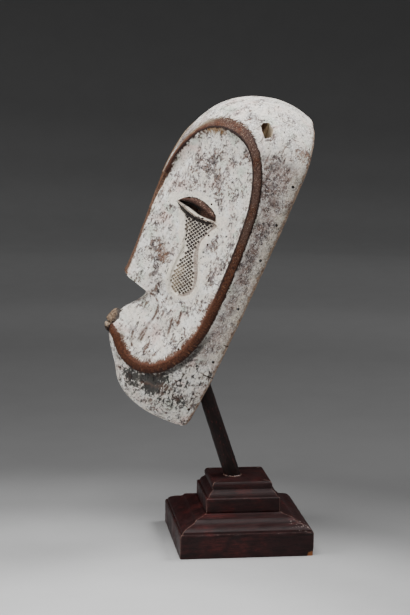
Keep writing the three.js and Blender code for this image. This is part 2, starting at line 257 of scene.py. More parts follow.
def grainGroup():
    # wood grain along the third axis of its place
    sizes = [("Place", "Vector", None), ("Ring", "Float", 4.0), ("Length", "Float", 60.0)]
    results = [("Mask", "Float"), ("Height", "Float")]
    tree, n, entry, leave = newGroup("grain", "ShaderNodeTree", sizes, results)
    size = n.joined(entry["Ring"], entry["Ring"], entry["Length"])
    rings = n.noise(n.vector("DIVIDE", entry["Place"], size), 1.0, 3.0, 0.6, 0.8)
    fibreSize = n.scaled(size, 0.14)
    fibres = n.noise(n.vector("DIVIDE", entry["Place"], fibreSize), 1.0, 2.0, 0.7)
    n.put(leave["Mask"], n.sum(n.product(rings, 0.65), n.product(fibres, 0.35)))
    n.put(leave["Height"], n.sum(n.product(rings, 0.3), n.product(fibres, 0.7)))
    return tree


flecks = fleckGroup()
grain = grainGroup()


def objectPlace(n):
    # object coordinates in millimetres
    return n.mapped(n.add("ShaderNodeTexCoord").outputs["Object"], (1 / mm,) * 3)


sweepSetup = {
    "flat": 1.9,
    "bend": 0.8,
    "height": 3.4,
    "rings": [0, 0.1, 0.2, 0.3, 0.45, 0.7, 1, 1.4],
    "brightest": [0.34, -0.18],
    # distance from the centre of the painted pool of light in metres, and how light the paper is painted
    # there
    "paper": [(0.0, 0.74), (0.2, 0.66), (0.34, 0.46), (0.48, 0.22), (0.62, 0.13), (0.9, 0.12), (1.2, 0.13),
              (1.6, 0.2), (2.2, 0.31), (2.5, 0.25), (2.7, 0.19), (2.83, 0.155), (3.0, 0.135)],
}


def sweepMaterial():
    # pale paper with a painted pool of light that darkens away from the object
    material, n = newMaterial("palePaper")
    s = sweepSetup
    place = objectPlace(n)
    x, y, _ = n.split(place)
    middleX, middleY = (-part / mm for part in s["brightest"])
    distance = n.length(n.joined(n.sum(x, middleX), n.sum(y, middleY), 0.0))
    light = s["paper"][0][1]
    for (near, _), (far, grey) in zip(s["paper"], s["paper"][1:]):
        light = n.mixNumber(n.step(distance, near / mm, far / mm), light, grey)
    mottle = n.step(n.noise(place, 0.02, 3.0), 0.3, 0.7, 0.97, 1.0)
    light = n.product(light, mottle)
    finishMaterial(n, n.joined(light, light, light), roughness=0.8, gloss=0.15)
    return material


def addSweep():
    # a round floor whose edge curves up all round
    s = sweepSetup
    path = [(radius, 0) for radius in s["rings"]]
    for k in range(13):
        a = math.pi / 2 * k / 12
        path.append((s["flat"] + s["bend"] * math.sin(a), s["bend"] * (1 - math.cos(a))))
    path.append((s["flat"] + s["bend"], s["height"]))
    around = 96
    points = [(0, 0, 0)]
    faces = []
    for k, (radius, height) in enumerate(path[1:]):
        for i in range(around):
            a = 2 * math.pi * i / around
            points.append((radius * math.cos(a), radius * math.sin(a), height))
            j = (i + 1) % around
            here, last = 1 + k * around, 1 + (k - 1) * around
            faces.append((0, here + i, here + j) if k == 0 else (last + i, here + i, here + j, last + j))
    mesh = bpy.data.meshes.new("sweep")
    mesh.from_pydata(points, [], faces)
    mesh.shade_smooth()
    mesh.materials.append(sweepMaterial())
    sweep = newObject("sweep", mesh)


# Mesh helpers

def newObject(name, mesh):
    made = bpy.data.objects.new(name, mesh)
    bpy.context.collection.objects.link(made)
    return made


def meshArrays(mesh):
    points = np.zeros(len(mesh.vertices) * 3)
    mesh.vertices.foreach_get("co", points)
    normals = np.zeros(len(mesh.vertices) * 3)
    mesh.vertices.foreach_get("normal", normals)
    return points.reshape(-1, 3), normals.reshape(-1, 3)


def setPoints(mesh, points):
    mesh.vertices.foreach_set("co", points.ravel())
    mesh.update()


def settleModifiers(piece):
    # the evaluated object becomes a plain mesh without modifiers
    depsgraph = bpy.context.evaluated_depsgraph_get()
    made = bpy.data.meshes.new_from_object(piece.evaluated_get(depsgraph), depsgraph=depsgraph)
    piece.modifiers.clear()
    old = piece.data
    piece.data = made
    made.name = piece.name
    bpy.data.meshes.remove(old)


def combine(piece, tool, operation):
    modifier = piece.modifiers.new("combine", "BOOLEAN")
    modifier.operation = operation
    modifier.solver = "MANIFOLD"
    modifier.material_mode = "TRANSFER"
    modifier.object = tool
    settleModifiers(piece)
    toolMesh = tool.data
    bpy.data.objects.remove(tool)
    bpy.data.meshes.remove(toolMesh)


def mend(mesh, weld=0, thin=0, triangles=True):
    # welds near points, drops faces without area, makes triangles and turns the faces outwards
    bm = bmesh.new()
    bm.from_mesh(mesh)
    if weld:
        bmesh.ops.remove_doubles(bm, verts=bm.verts, dist=weld)
    if thin:
        bmesh.ops.dissolve_degenerate(bm, dist=thin, edges=bm.edges)
    if triangles:
        bmesh.ops.triangulate(bm, faces=bm.faces)
    bmesh.ops.recalc_face_normals(bm, faces=bm.faces)
    bm.to_mesh(mesh)
    bm.free()


def ringFaces(rings, around):
    # four-sided faces between closed rings of points that follow each other
    faces = []
    for i in range(rings):
        for j in range(around):
            k = (j + 1) % around
            here, after = i * around, (i + 1) * around
            faces.append((here + j, here + k, after + k, after + j))
    return faces


def addGuides(mesh, values):
    # values for the paint, one for each point
    for key, value in values.items():
        guide = mesh.attributes.new(key, "FLOAT", "POINT")
        guide.data.foreach_set("value", value)


def closedMesh(name, solids):
    # solids are lists of (points, faces); each is turned outwards
    points, faces = [], []
    for solidPoints, solidFaces in solids:
        faces += [[i + len(points) for i in f] for f in solidFaces]
        points += [tuple(p) for p in solidPoints]
    mesh = bpy.data.meshes.new(name)
    mesh.from_pydata(points, [], faces)
    mend(mesh)
    return mesh


def openEdges(mesh):
    bm = bmesh.new()
    bm.from_mesh(mesh)
    found = sum(not e.is_manifold for e in bm.edges)
    bm.free()
    return found


def growFrom(source, tree, values):
    # runs a geometry tree on an object and leaves the plain result in it
    modifier = source.modifiers.new("grow", "NODES")
    modifier.node_group = tree
    for item in tree.interface.items_tree:
        if item.item_type == "SOCKET" and item.in_out == "INPUT" and item.name in values:
            modifier[item.identifier] = values[item.name]
    source.update_tag()
    settleModifiers(source)
    return source


addCamera()
addLights()
addSweep()
print("camera, lights and floor are in place")


# The mask's form. Lengths are in millimetres in the mask's own frame:
# [across, height along the mask, forward of the plane of its rim].

maskFrame = {"lean": math.radians(21.7), "rimFootY": -43.4, "rimFootZ": 116.5}
block = {
    "midHeight": 140,
    "crownRise": 146.5,
    "chinDrop": 154,
    "depth": 105.3,
    "chinHalfWidth": 35,
    "widening": 0.18,
    "profilePower": 3.1,
    "crossPower": 2.2,
    "temple": {"swell": 0.07, "height": 250, "reach": 24},
    "crownTuck": {"drop": 7, "reach": 36},
    "chinBite": {"depth": 0.055, "height": 18, "reach": 16},
    "rimRound": 6,
    # the search for its surface: halvings, how far out it starts and how low it may go
    "halvings": 46,
    "searchReach": 8.0,
    "searchLowest": -150,
}
ridge = {
    "halfWidth": 4.1,
    "browWidening": 1.5,
    "browShare": 0.16,
    "browReach": 0.1,
    "proud": 1.0,
    "step": 3.4,
    "endProud": 0.25,
    "endStep": 0.4,
    "startFade": 0.05,
    "endFade": 0.03,
    "section": [[0.95, 0.1], [0.86, 0.65], [0.7, 0.95], [0.4, 1], [0, 1.05], [-0.4, 1], [-0.72, 0.85],
                [-0.88, 0.45]],
    "length": 405,
    "nearShare": 0.004,
    "path": [
        [4.4, 190, 104], [8.5, 205, 102], [14, 219, 99], [22.5, 232.2, 93.9], [34, 244, 85],
        [47, 248.3, 74], [59, 245.5, 60], [66.3, 235, 47.5], [68.4, 214, 37], [67.3, 189, 30.7],
        [63.6, 162, 28.1], [58, 130, 26.6], [52.1, 98.5, 26.3], [46.2, 73.5, 28], [38.8, 48.5, 35.5],
        [31.5, 31.5, 50], [25.2, 25.8, 66], [18.6, 31, 83], [14, 43.3, 93], [5, 48.5, 96.5],
    ],
}
keelPath = [
    [7.6, 190, 103.6], [5.2, 174, 103.6], [4.6, 140, 102.6], [5, 118, 101.8], [6, 103, 101.8],
    [7, 97.5, 102.2], [8.5, 94.8, 100], [11, 92.3, 92], [13, 90.2, 84.5], [14, 88, 78.5],
    [13, 84.6, 76.4], [9, 80.3, 78.8], [6.5, 74.5, 84], [5.8, 68.5, 89.3], [5.5, 58, 95.3],
    [5, 54, 95.6],
]
face = {"dish": 6.5, "fullDishLength": 60, "dishGrown": 0.16}
muzzle = {"start": 0.66, "grown": 0.78, "flattening": 0.75, "bulge": 2.6, "width": 34, "fade": 0.12}
border = {"startHeight": 192, "endHeight": 43, "rimStart": 14 / 60, "rimEnd": 48 / 60}
hollow = {
    "top": 267,
    "bottom": -3,
    "wall": 9,
    "depthAt": [[-3, 46], [45, 58], [85, 65], [110, 76], [150, 85], [200, 88], [240, 92], [267, 94]],
    "faceSharpness": 1.28,
    "domeSharpness": 2.1,
    "domeFrom": [190, 245],
}
fineness = {
    "forehead": 54,
    "rim": 129,
    "chin": 48,
    "face": 65,
    "band": 24,
    "rimRows": 6,
    "hollow": 24,
    "focus": 0.35,
    "focusFrom": 0.27,
    "focusTo": 0.68,
    "focusFade": 0.04,
    "focusSteps": 2000,
    # edges that are halved: from a height up, and back from a place forward
    "halved": [{"above": 93, "behind": 80}, {"above": 160, "behind": 87}],
    "halvedBelow": 184,
    "halvedBefore": 46,
    "halvedBeside": 14,
}


def smoothstep(x, low, high):
    t = np.clip((np.asarray(x, float) - low) / (high - low), 0, 1)
    return t * t * (3 - 2 * t)


def halfWidthAt(height):
    t = block["temple"]
    straight = block["chinHalfWidth"] + block["widening"] * height
    return straight * (1 + t["swell"] * np.exp(-(((height - t["height"]) / t["reach"]) ** 2)))


def riseAt(offset):
    return np.where(offset > 0, block["crownRise"], block["chinDrop"])


def fullness(points):
    across, height, forward = points[..., 0], points[..., 1], points[..., 2]
    offset = height - block["midHeight"]
    p, c = block["profilePower"], block["crossPower"]
    long = np.abs(offset / riseAt(offset)) ** p
    return long + np.abs(forward / block["depth"]) ** p + np.abs(across / halfWidthAt(height)) ** c


blockCentre = np.array([0, block["midHeight"], block["rimRound"]], float)


def ontoBlock(points):
    # moves points along lines from the block's centre to its surface
    way = points - blockCentre
    low = np.zeros(points.shape[:-1])
    high = np.full(points.shape[:-1], block["searchReach"])

    def at(share):
        p = blockCentre + way * share[..., None]
        p[..., 1] = np.maximum(p[..., 1], block["searchLowest"])
        return p

    for _ in range(block["halvings"]):
        middle = (low + high) / 2
        outside = fullness(at(middle)) > 1
        high = np.where(outside, middle, high)
        low = np.where(outside, low, middle)
    return at(low)


def blockNormal(points):
    small = np.eye(3) * 0.05
    slope = np.stack([fullness(points + s) - fullness(points - s) for s in small], -1)
    return slope / np.linalg.norm(slope, axis=-1, keepdims=True)


def settle(points):
    # pulls the crown's rim down and bites the chin's front
    tuck, bite = block["crownTuck"], block["chinBite"]
    height, forward = points[..., 1], points[..., 2]
    nearRim = np.clip(1 - forward / tuck["reach"], 0, 1)
    nearCrown = np.clip((height - block["midHeight"]) / block["crownRise"], 0, 1)
    bitten = bite["depth"] * np.exp(-(((height - bite["height"]) / bite["reach"]) ** 2))
    drop = tuck["drop"] * nearRim**2 * nearCrown**3
    return np.stack([points[..., 0], height - drop, forward * (1 - bitten)], -1)


def smoothLine(path, perSpan=48):
    # centripetal Catmull-Rom curve through the points
    p = np.asarray(path, float)
    p = np.vstack([2 * p[0] - p[1], p, 2 * p[-1] - p[-2]])
    out = []
    for a, b, c, d in zip(p, p[1:], p[2:], p[3:]):
        gaps = [max(np.linalg.norm(q - r) ** 0.5, 1e-4) for q, r in ((b, a), (c, b), (d, c))]
        knots = np.cumsum([0] + gaps)
        t = np.linspace(knots[1], knots[2], perSpan, endpoint=False)[:, None]

        def blend(first, second, i, j):
            return ((knots[j] - t) * first + (t - knots[i]) * second) / (knots[j] - knots[i])

        ab, bc, cd = blend(a, b, 0, 1), blend(b, c, 1, 2), blend(c, d, 2, 3)
        out.append(blend(blend(ab, bc, 0, 2), blend(bc, cd, 1, 3), 1, 2))
    return np.vstack(out + [p[-2:-1]])


def evenWalk(points):
    gone = np.r_[0, np.cumsum(np.linalg.norm(np.diff(points, axis=0), axis=1))]

    def at(share):
        wanted = np.clip(share, 0, 1) * gone[-1]
        return np.stack([np.interp(wanted, gone, points[:, k]) for k in range(3)], -1)

    return at


def latitudeOf(height):
    offset = height - block["midHeight"]
    return np.arcsin(offset / riseAt(offset))


def middleLine(latitude):
    section = np.maximum(0, 1 - np.abs(np.sin(latitude)) ** block["profilePower"])
    height = block["midHeight"] + riseAt(latitude) * np.sin(latitude)
    return np.stack([0 * latitude, height, block["depth"] * section ** (1 / block["profilePower"])], -1)


forwardShare = (block["rimRound"] / block["depth"]) ** block["profilePower"]
rimLatitude = math.asin((1 - forwardShare) ** (1 / block["profilePower"]))


def rimLine(latitude):
    height = block["midHeight"] + riseAt(latitude) * np.sin(latitude)
    left = np.maximum(0, 1 - np.abs(np.sin(latitude)) ** block["profilePower"] - forwardShare)
    across = halfWidthAt(height) * left ** (1 / block["crossPower"])
    return np.stack([across, height, np.full_like(height, block["rimRound"])], -1)


ridgeWalk = evenWalk(ontoBlock(smoothLine(ridge["path"])))
keelWalk = evenWalk(smoothLine(keelPath))
along = np.linspace(0, 1, 900)
startLatitude = latitudeOf(border["startHeight"])
endLatitude = latitudeOf(border["endHeight"])
borderWalks = [
    evenWalk(middleLine(startLatitude + (rimLatitude - startLatitude) * along)),
    evenWalk(rimLine(rimLatitude * np.cos(np.pi * along))),
    evenWalk(middleLine(-rimLatitude + (endLatitude + rimLatitude) * along)),
]


def borderAt(share):
    a, b = border["rimStart"], border["rimEnd"]
    crown = borderWalks[0](share / a)
    side = borderWalks[1]((share - a) / (b - a))
    chin = borderWalks[2]((share - b) / (1 - b))
    out = np.where((share < a)[:, None], crown, side)
    return np.where((share > b)[:, None], chin, out)


def ridgeFrames(share):
    # a place on the ridge, the way out of the block there, and the way towards the nose
    here = ridgeWalk(share)
    near = ridge["nearShare"]
    run = ridgeWalk(share + near) - ridgeWalk(share - near)
    run /= np.linalg.norm(run, axis=-1, keepdims=True)
    out = blockNormal(here)
    inward = np.cross(run, out)
    toKeel = keelWalk(np.array([0.5])) - ridgeWalk(np.array([0.5]))
    inward *= -1 if np.sum(toKeel * inward[len(share) // 2]) < 0 else 1
    inward /= np.linalg.norm(inward, axis=-1, keepdims=True)
    return here, out, inward


def maskColumns(share, faceShares, bandRows):
    # rows of points from the nose's keel over the face and the ridge to the rim
    here, out, inward = ridgeFrames(share)
    fade = np.clip(share / ridge["startFade"], 0, 1) * np.clip((1 - share) / ridge["endFade"], 0, 1)
    brow = np.exp(-(((share - ridge["browShare"]) / ridge["browReach"]) ** 2))
    halfWidth = (ridge["halfWidth"] + ridge["browWidening"] * brow)[:, None]
    step = (ridge["endStep"] + (ridge["step"] - ridge["endStep"]) * fade)[:, None]
    proud = (ridge["endProud"] + (ridge["proud"] - ridge["endProud"]) * fade)[:, None]

    def at(sideways, outward):
        p = here + inward * sideways * halfWidth + out * outward
        p[:, 0] = np.maximum(p[:, 0], 0)
        return p

    foot = at(1, -step)
    keel = keelWalk(share)
    length = np.linalg.norm(foot - keel, axis=1)
    calm = smoothstep(share, muzzle["start"], muzzle["grown"])
    room = np.minimum(1, length / face["fullDishLength"]) * np.clip(share / face["dishGrown"], 0, 1)
    dish = face["dish"] * room * (1 - muzzle["flattening"] * calm)
    bulge = calm * muzzle["bulge"] * np.minimum(1, (1 - share) / muzzle["fade"])
    rows = []
    for gone in faceShares:
        p = keel + (foot - keel) * gone
        swell = bulge * np.sin(np.pi * np.clip(gone * length / muzzle["width"], 0, 1))
        p[:, 0] += swell - dish * math.sin(math.pi * gone)
        rows.append(p)
    for sideways, rise in ridge["section"]:
        rows.append(at(sideways, rise * proud))
    outerFoot = ontoBlock(at(-1, 0))
    edge = borderAt(share)
    for i in range(bandRows + 1):
        rows.append(ontoBlock(outerFoot + (edge - outerFoot) * i / bandRows))
    return np.stack(rows, 1)


def hollowArcs(rimPoints, rows):
    # arcs of the hollow, from the rim to its middle line
    middle = (hollow["top"] + hollow["bottom"]) / 2
    half = (hollow["top"] - hollow["bottom"]) / 2
    outerMiddle = block["midHeight"] + (block["crownRise"] - block["chinDrop"]) / 2 * math.sin(rimLatitude)
    outerHalf = (block["crownRise"] + block["chinDrop"]) / 2 * math.sin(rimLatitude)
    share = np.clip((rimPoints[:, 1] - outerMiddle) / outerHalf, -1, 1)
    height = middle + half * share
    section = np.maximum(0, 1 - np.abs(share) ** block["profilePower"])
    across = np.maximum(0, halfWidthAt(height) - hollow["wall"]) * section ** (1 / block["crossPower"])
    depths = np.array(hollow["depthAt"], float)
    reach = np.interp(height, depths[:, 0], depths[:, 1]) * section ** (1 / block["profilePower"])
    domed = smoothstep(height, *hollow["domeFrom"])
    sharpness = hollow["faceSharpness"] + (hollow["domeSharpness"] - hollow["faceSharpness"]) * domed
    arcs = []
    for i in range(rows + 1):
        a = math.pi / 2 * i / rows
        x = 0 * height if i == rows else across * math.cos(a) ** (2 / sharpness)
        arc = np.stack([x, height, reach * math.sin(a) ** (2 / sharpness)], -1)
        arc[[0, -1]] *= (0, 1, 0)
        arcs.append(arc)
    return arcs


def spread(start, end, count):
    # shares from start to end, closer together where the eye and the tear panel are
    f = fineness
    s = np.linspace(start, end, f["focusSteps"])
    weight = 1 + f["focus"] * smoothstep(s, f["focusFrom"] - f["focusFade"], f["focusFrom"])
    weight -= f["focus"] * smoothstep(s, f["focusTo"], f["focusTo"] + f["focusFade"])
    gone = np.r_[0, np.cumsum(weight[1:])]
    return np.interp(np.linspace(0, gone[-1], count + 1), gone, s)


def sheetTriangles(grid):
    # the triangles of a sheet of points and of its mirror image
    a, b, c, d = grid[:-1, :-1], grid[1:, :-1], grid[1:, 1:], grid[:-1, 1:]
    made = []
    for corners in ((a, b, c), (a, c, d)):
        near = np.stack(corners, -2).reshape(-1, 3, 3)
        far = near[:, [0, 2, 1]] * (-1, 1, 1)
        made += [near, far]
    return np.concatenate(made)


def onMiddle(points):
    return points * (0, 1, 1)


def maskShell():
    # the closed shell: triangles of the outside, then of the hollow
    f = fineness
    parts = [
        spread(0, border["rimStart"], f["forehead"]),
        spread(border["rimStart"], border["rimEnd"], f["rim"])[1:],
        spread(border["rimEnd"], 1, f["chin"])[1:],
    ]
    share = np.concatenate(parts)
    columns = maskColumns(share, np.linspace(0, 1, f["face"] + 1), f["band"])
    settled = settle(columns)
    outside = np.concatenate([onMiddle(settled[:1]), settled, onMiddle(settled[-1:])])
    keelStrip = np.stack([onMiddle(settled[:, 0]), settled[:, 0]], 1)
    edge = columns[f["forehead"]:f["forehead"] + f["rim"] + 1, -1]
    run = np.vstack([edge[1] - edge[0], edge[2:] - edge[:-2], edge[-1] - edge[-2]]) * (1, 1, 0)
    run /= np.linalg.norm(run, axis=1, keepdims=True)
    inward = np.stack([run[:, 1], -run[:, 0], 0 * run[:, 0]], -1)
    inward[0] = (0, -1, 0)
    inward[-1] = (0, 1, 0)
    rows = []
    for k in range(f["rimRows"] + 1):
        a = math.pi / 2 * k / f["rimRows"]
        p = edge + inward * block["rimRound"] * (1 - math.cos(a))
        p[:, 0] = np.maximum(p[:, 0], 0)
        p[:, 2] = block["rimRound"] * (1 - math.sin(a))
        rows.append(settle(p))
    rimSheet = np.stack(rows, 1)
    hollowSheet = np.stack([rows[-1]] + hollowArcs(edge, f["hollow"]), 1)
    outer = [sheetTriangles(g) for g in (outside, keelStrip, rimSheet)]
    return np.concatenate(outer), sheetTriangles(hollowSheet)


def toWorld(points):
    # from the mask's own frame to the object's frame, in metres
    s, c = math.sin(maskFrame["lean"]), math.cos(maskFrame["lean"])
    across, height, forward = points[..., 0], points[..., 1], points[..., 2]
    y = maskFrame["rimFootY"] + height * s - forward * c
    z = maskFrame["rimFootZ"] + height * c + forward * s
    return np.stack([across, y, z], -1) * mm


def toOwnFrame(points):
    s, c = math.sin(maskFrame["lean"]), math.cos(maskFrame["lean"])
    p = np.asarray(points, float) / mm
    y, z = p[..., 1] - maskFrame["rimFootY"], p[..., 2] - maskFrame["rimFootZ"]
    return np.stack([p[..., 0], y * s + z * c, -y * c + z * s], -1)


# The eye, seen from the side: [forward, height], from the inner corner to the outer one

eye = {
    "inner": 85.2,
    "outer": 52.4,
    "lid": [[85.2, 173], [84, 174.9], [81.8, 177.1], [78.5, 179.4], [73.3, 181.3], [67.2, 181],
            [61.8, 179.2], [57.5, 177], [54.1, 174.1], [52.4, 170]],
    "slitTop": [[85.2, 173], [80, 174.4], [74.5, 175.2], [66.9, 174.3], [60.5, 172.6], [52.4, 169.4]],
    "slitFoot": [[85.2, 172.6], [76.4, 171], [71, 169.5], [65.1, 168.2], [59.9, 168.3], [52.4, 168.9]],
    "lowerLid": [[85.2, 172.4], [78.6, 170], [72.9, 168], [67.7, 166.8], [62.8, 166.5], [58.3, 166.9],
                 [52.4, 168.4]],
    "bandFoot": [[85.2, 171.5], [82.6, 168], [77.6, 164.6], [72.1, 162.8], [66.5, 162.3], [61.3, 162.7],
                 [57.2, 164.1], [52.4, 168]],
    "way": (0.786, -0.139, 0.601),
    "lidRise": 3.0,
    "recess": 2.2,
    "lowerRise": 1.8,
    "lowerWidth": 1.0,
    "bandSink": 0.9,
    # how the relief fades at the ends, how the lid swells, and how soft the edges are
    "ends": 3.5,
    "endFullness": 0.7,
    "lidLean": 0.75,
    "lidFullness": 0.7,
    "slitFootEdge": (-0.4, 0.5),
    "slitTopEdge": (-0.5, 0.9),
    "bandFootEdge": (-0.6, 0.4),
    "bandTopEdge": (-2.4, -1),
    "hole": {"from": 66, "to": 79, "inset": 1.4, "depth": [8, 60]},
    # where the eye and the tear panel are carved
    "box": {"side": 12, "height": (90, 190), "forward": (45, 90)},
    "lowest": 158,
}
tearPanel = {
    "sunk": (-1.3, 0, -0.9),
    "edge": (-0.4, 1.1),
    "upperEdge": (-0.5, 0.8),
    "outline": [[165.5, 77.5], [155, 72], [139, 68], [124.5, 68.3], [110.5, 68], [101, 64.5], [96.5, 57],
                [98.5, 50.5], [105.3, 46.9], [118, 47.8], [131, 52.4], [146, 56.2], [159, 52.9], [166, 50]],
    "net": [[166, 76], [157, 72.3], [150, 70.2], [144.5, 67.4], [138.3, 64], [132.9, 63], [126.7, 64.4],
            [118.5, 65.6], [111, 66], [104.5, 64.4], [99.5, 59.5], [98.5, 54.5], [102, 50.6], [107, 48.4],
            [115, 49.4], [122, 52.2], [129.5, 55.4], [135, 57.4], [142, 57.8], [147.3, 57.5], [153, 56],
            [158.5, 54], [163, 53], [166.5, 54.5]],
}
creases = {
    "depth": 0.5,
    "width": 0.9,
    "box": {"side": 6, "height": (36, 94), "forward": (55, 1000)},
    "paths": [
        [[15.1, 89.2, 78.2], [17.5, 87.3, 72], [19.9, 83.7, 68], [20.1, 77.7, 66.5], [18.9, 70.9, 66.4],
         [17.5, 62.3, 68.4], [16.9, 53.8, 70.6], [17.1, 46.8, 71.5]],
        [[17, 60.4, 68.5], [17.5, 55.7, 68.2], [17.3, 51, 69], [17.6, 46.1, 69.3]],
        [[26.7, 77.1, 52.6], [27, 72.5, 51.9], [26.7, 67.8, 51.5], [26.9, 62.1, 50.8]],
        [[29.8, 84.8, 48.1], [30.1, 78.7, 47.2], [30.2, 72.9, 47]],
        [[16, 52, 78], [17, 45, 77], [18, 40, 74.5]],
    ],
}


def heightOver(path):
    # a line drawn over the cheek, as its height at a place forward
    p = smoothLine([[0, b, a] for a, b in path], 24)
    order = np.argsort(p[:, 2])
    return lambda forward: np.interp(forward, p[order, 2], p[order, 1])


eyeLine = {key: heightOver(eye[key]) for key in ("lid", "slitTop", "slitFoot", "lowerLid", "bandFoot")}


def depthInside(height, forward, outline):
    # how far a point of the side view is inside a closed outline, in millimetres
    p = smoothLine([[0, *q] for q in outline + outline[:1]], 6)[:, 1:]
    near = np.full(height.shape, 1e9)
    odd = np.zeros(height.shape, bool)
    for (h0, f0), (h1, f1) in zip(p, p[1:]):
        dh, df = h1 - h0, f1 - f0
        length = dh * dh + df * df
        if length < 1e-9:
            continue
        t = np.clip(((height - h0) * dh + (forward - f0) * df) / length, 0, 1)
        near = np.minimum(near, np.hypot(height - h0 - t * dh, forward - f0 - t * df))
        crosses = (f0 > forward) != (f1 > forward)
        odd ^= crosses & (height < h0 + (forward - f0) / np.where(df == 0, 1, df) * dh)
    return np.where(odd, near, -near)


def eyeRelief(height, forward):
    # carved height of the eye over the cheek
    line = {key: f(forward) for key, f in eyeLine.items()}

    def over(key, edge):
        return smoothstep(height - line[key], *eye[edge])

    toEnd = np.minimum(eye["inner"] - forward, forward - eye["outer"])
    within = np.clip(toEnd / eye["ends"], 0, 1) ** eye["endFullness"]
    lidShare = (height - line["slitTop"]) / np.maximum(line["lid"] - line["slitTop"], 0.3)
    swelling = np.sin(np.pi * np.clip(lidShare, 0, 1) ** eye["lidLean"]) ** eye["lidFullness"]
    dome = np.where((lidShare > 0) & (lidShare < 1), swelling, 0)
    slit = over("slitFoot", "slitFootEdge") * (1 - over("slitTop", "slitTopEdge"))
    lower = np.exp(-(((height - line["lowerLid"]) / eye["lowerWidth"]) ** 2))
    band = over("bandFoot", "bandFootEdge") * (1 - over("lowerLid", "bandTopEdge"))
    up = eye["lidRise"] * dome + eye["lowerRise"] * lower
    return within * (up - eye["recess"] * slit - eye["bandSink"] * band)


def treeOf(points):
    tree = kdtree.KDTree(len(points))
    for i, p in enumerate(points):
        tree.insert(p, i)
    tree.balance()
    return tree


def nearest(tree, points):
    found = [tree.find(p) for p in points]
    return np.array([f[1] for f in found]), np.array([f[2] for f in found])


flatSide = np.array([0, 1, 1])  # lays points into the side view
creaseTree = treeOf(np.concatenate([smoothLine(path, 12) for path in creases["paths"]]) * flatSide)


def inBox(points, box):
    side, height, forward = np.abs(points[:, 0]), points[:, 1], points[:, 2]
    inside = (forward > box["forward"][0]) & (forward < box["forward"][1])
    return inside & (height > box["height"][0]) & (height < box["height"][1]) & (side > box["side"])


def carve(points):
    # moves points of the outside of the mask to their carved places
    shift = np.zeros_like(points)
    nearEye = inBox(points, eye["box"])
    h, f = points[nearEye, 1], points[nearEye, 2]
    sunk = smoothstep(depthInside(h, f, tearPanel["outline"]), *tearPanel["edge"])
    aboveBand = smoothstep(h - eyeLine["bandFoot"](f), *tearPanel["upperEdge"])
    lift = eyeRelief(h, f) * (h > eye["lowest"])
    shift[nearEye] = (sunk * (1 - aboveBand))[:, None] * np.array(tearPanel["sunk"])
    shift[nearEye] += lift[:, None] * np.array(eye["way"])
    nearMouth = inBox(points, creases["box"])
    _, gap = nearest(creaseTree, points[nearMouth] * flatSide)
    shift[nearMouth, 0] -= creases["depth"] * np.exp(-((gap / creases["width"]) ** 2))
    shift[:, 0] *= np.sign(points[:, 0])
    return points + shift


# Where the paint changes, as values on the mesh

soil = {
    "face": 0.44,
    "band": [0.68, 0.52],
    "dome": 0.34,
    "chin": 0.42,
    "blobs": [
        [12.5, 131, 88, 7, 0.4], [17, 127, 81, 10, 0.6], [20, 115, 76, 8, 0.5], [43, 195, 59, 9, 0.3],
        [33, 211, 76, 9, 0.4], [39, 217, 70, 11, 0.5], [69, 215, 30, 9, 0.4], [69, 205, 28, 8, 0.35],
        [65, 170, 23, 12, 0.3], [61, 146, 23, 14, 0.35], [30, 178, 72, 13, -0.45],
        [21, 140, 73, 8, -0.4], [22, 115, 70, 8, -0.35], [50, 170, 48, 12, -0.2],
        [20, 64, 72, 15, -0.3],
    ],
    "brown": [
        [16.5, 126.5, 82, 7, 1.5], [19.5, 121, 77, 6, 1.1], [9, 118, 95, 5, 0.9],
        [43, 195, 59, 6, 1.0], [33, 211, 76, 6, 1.0], [66, 249, 8, 9, 1.5], [70, 262, 10, 8, 0.5],
        [30, 27, 40, 10, 0.3],
    ],
    # blackening of the chin: partly char, partly painted shadow just below the ridge
    "charred": [
        [23.8, 14.6, 48, 8, 0.9], [29, 24, 43, 7, 0.8], [28, 20, 36, 8, 0.6], [22, 10, 46, 7, 0.8],
        [17.5, 17, 69, 7, 0.9], [17, 10, 62, 6, 0.7], [24.5, 11, 20, 8, 0.7], [20, 22, 62, 8, 0.8],
        [25, 22, 52, 7, 1.0], [14, 4, 40, 7, 0.4], [31, 30, 22, 7, 0.35], [18.3, 3, 42, 6, -0.6],
        [32, 30, 36, 5, -0.3],
    ],
}


def blobsAt(points, blobs):
    total = np.zeros(len(points))
    for *centre, reach, amount in blobs:
        gap = np.linalg.norm(points - np.array(centre, float), axis=1)
        total += amount * np.exp(-((gap / reach) ** 2))
    return total


guideSetup = {
    "ridgeSteps": 1200,
    "keelSteps": 400,
    "noseEnd": 0.575,
    "noseWidening": 0.5,
    "noseDepth": 3,
    # how far forward the rear margin of the tear panel lies, by height
    "rearMargin": [[98, 56], [112, 59], [140, 60], [166, 66]],
    "eyeEnds": 0.6,
    "hidden": -20.0,
    "onBand": (3, 9),
    "low": (210, 60),
    "dome": (222, 246),
    "chin": (62, 38),
    "blobs": 0.75,
    "charredAndShadedChin": 0.34,
    "limits": (-50, 500),
}


def soiledAt(points, onBand, chin):
    # how dirty the paint is: by zone, and more or less so in single places
    g, height = guideSetup, points[:, 1]
    low = smoothstep(height, *g["low"])
    upper, lower = soil["band"]
    base = soil["face"] + (upper + (lower - upper) * low - soil["face"]) * onBand
    base += (soil["dome"] - base) * smoothstep(height, *g["dome"]) * onBand
    base += (soil["chin"] - base) * chin
    return base + g["blobs"] * blobsAt(points, soil["blobs"])


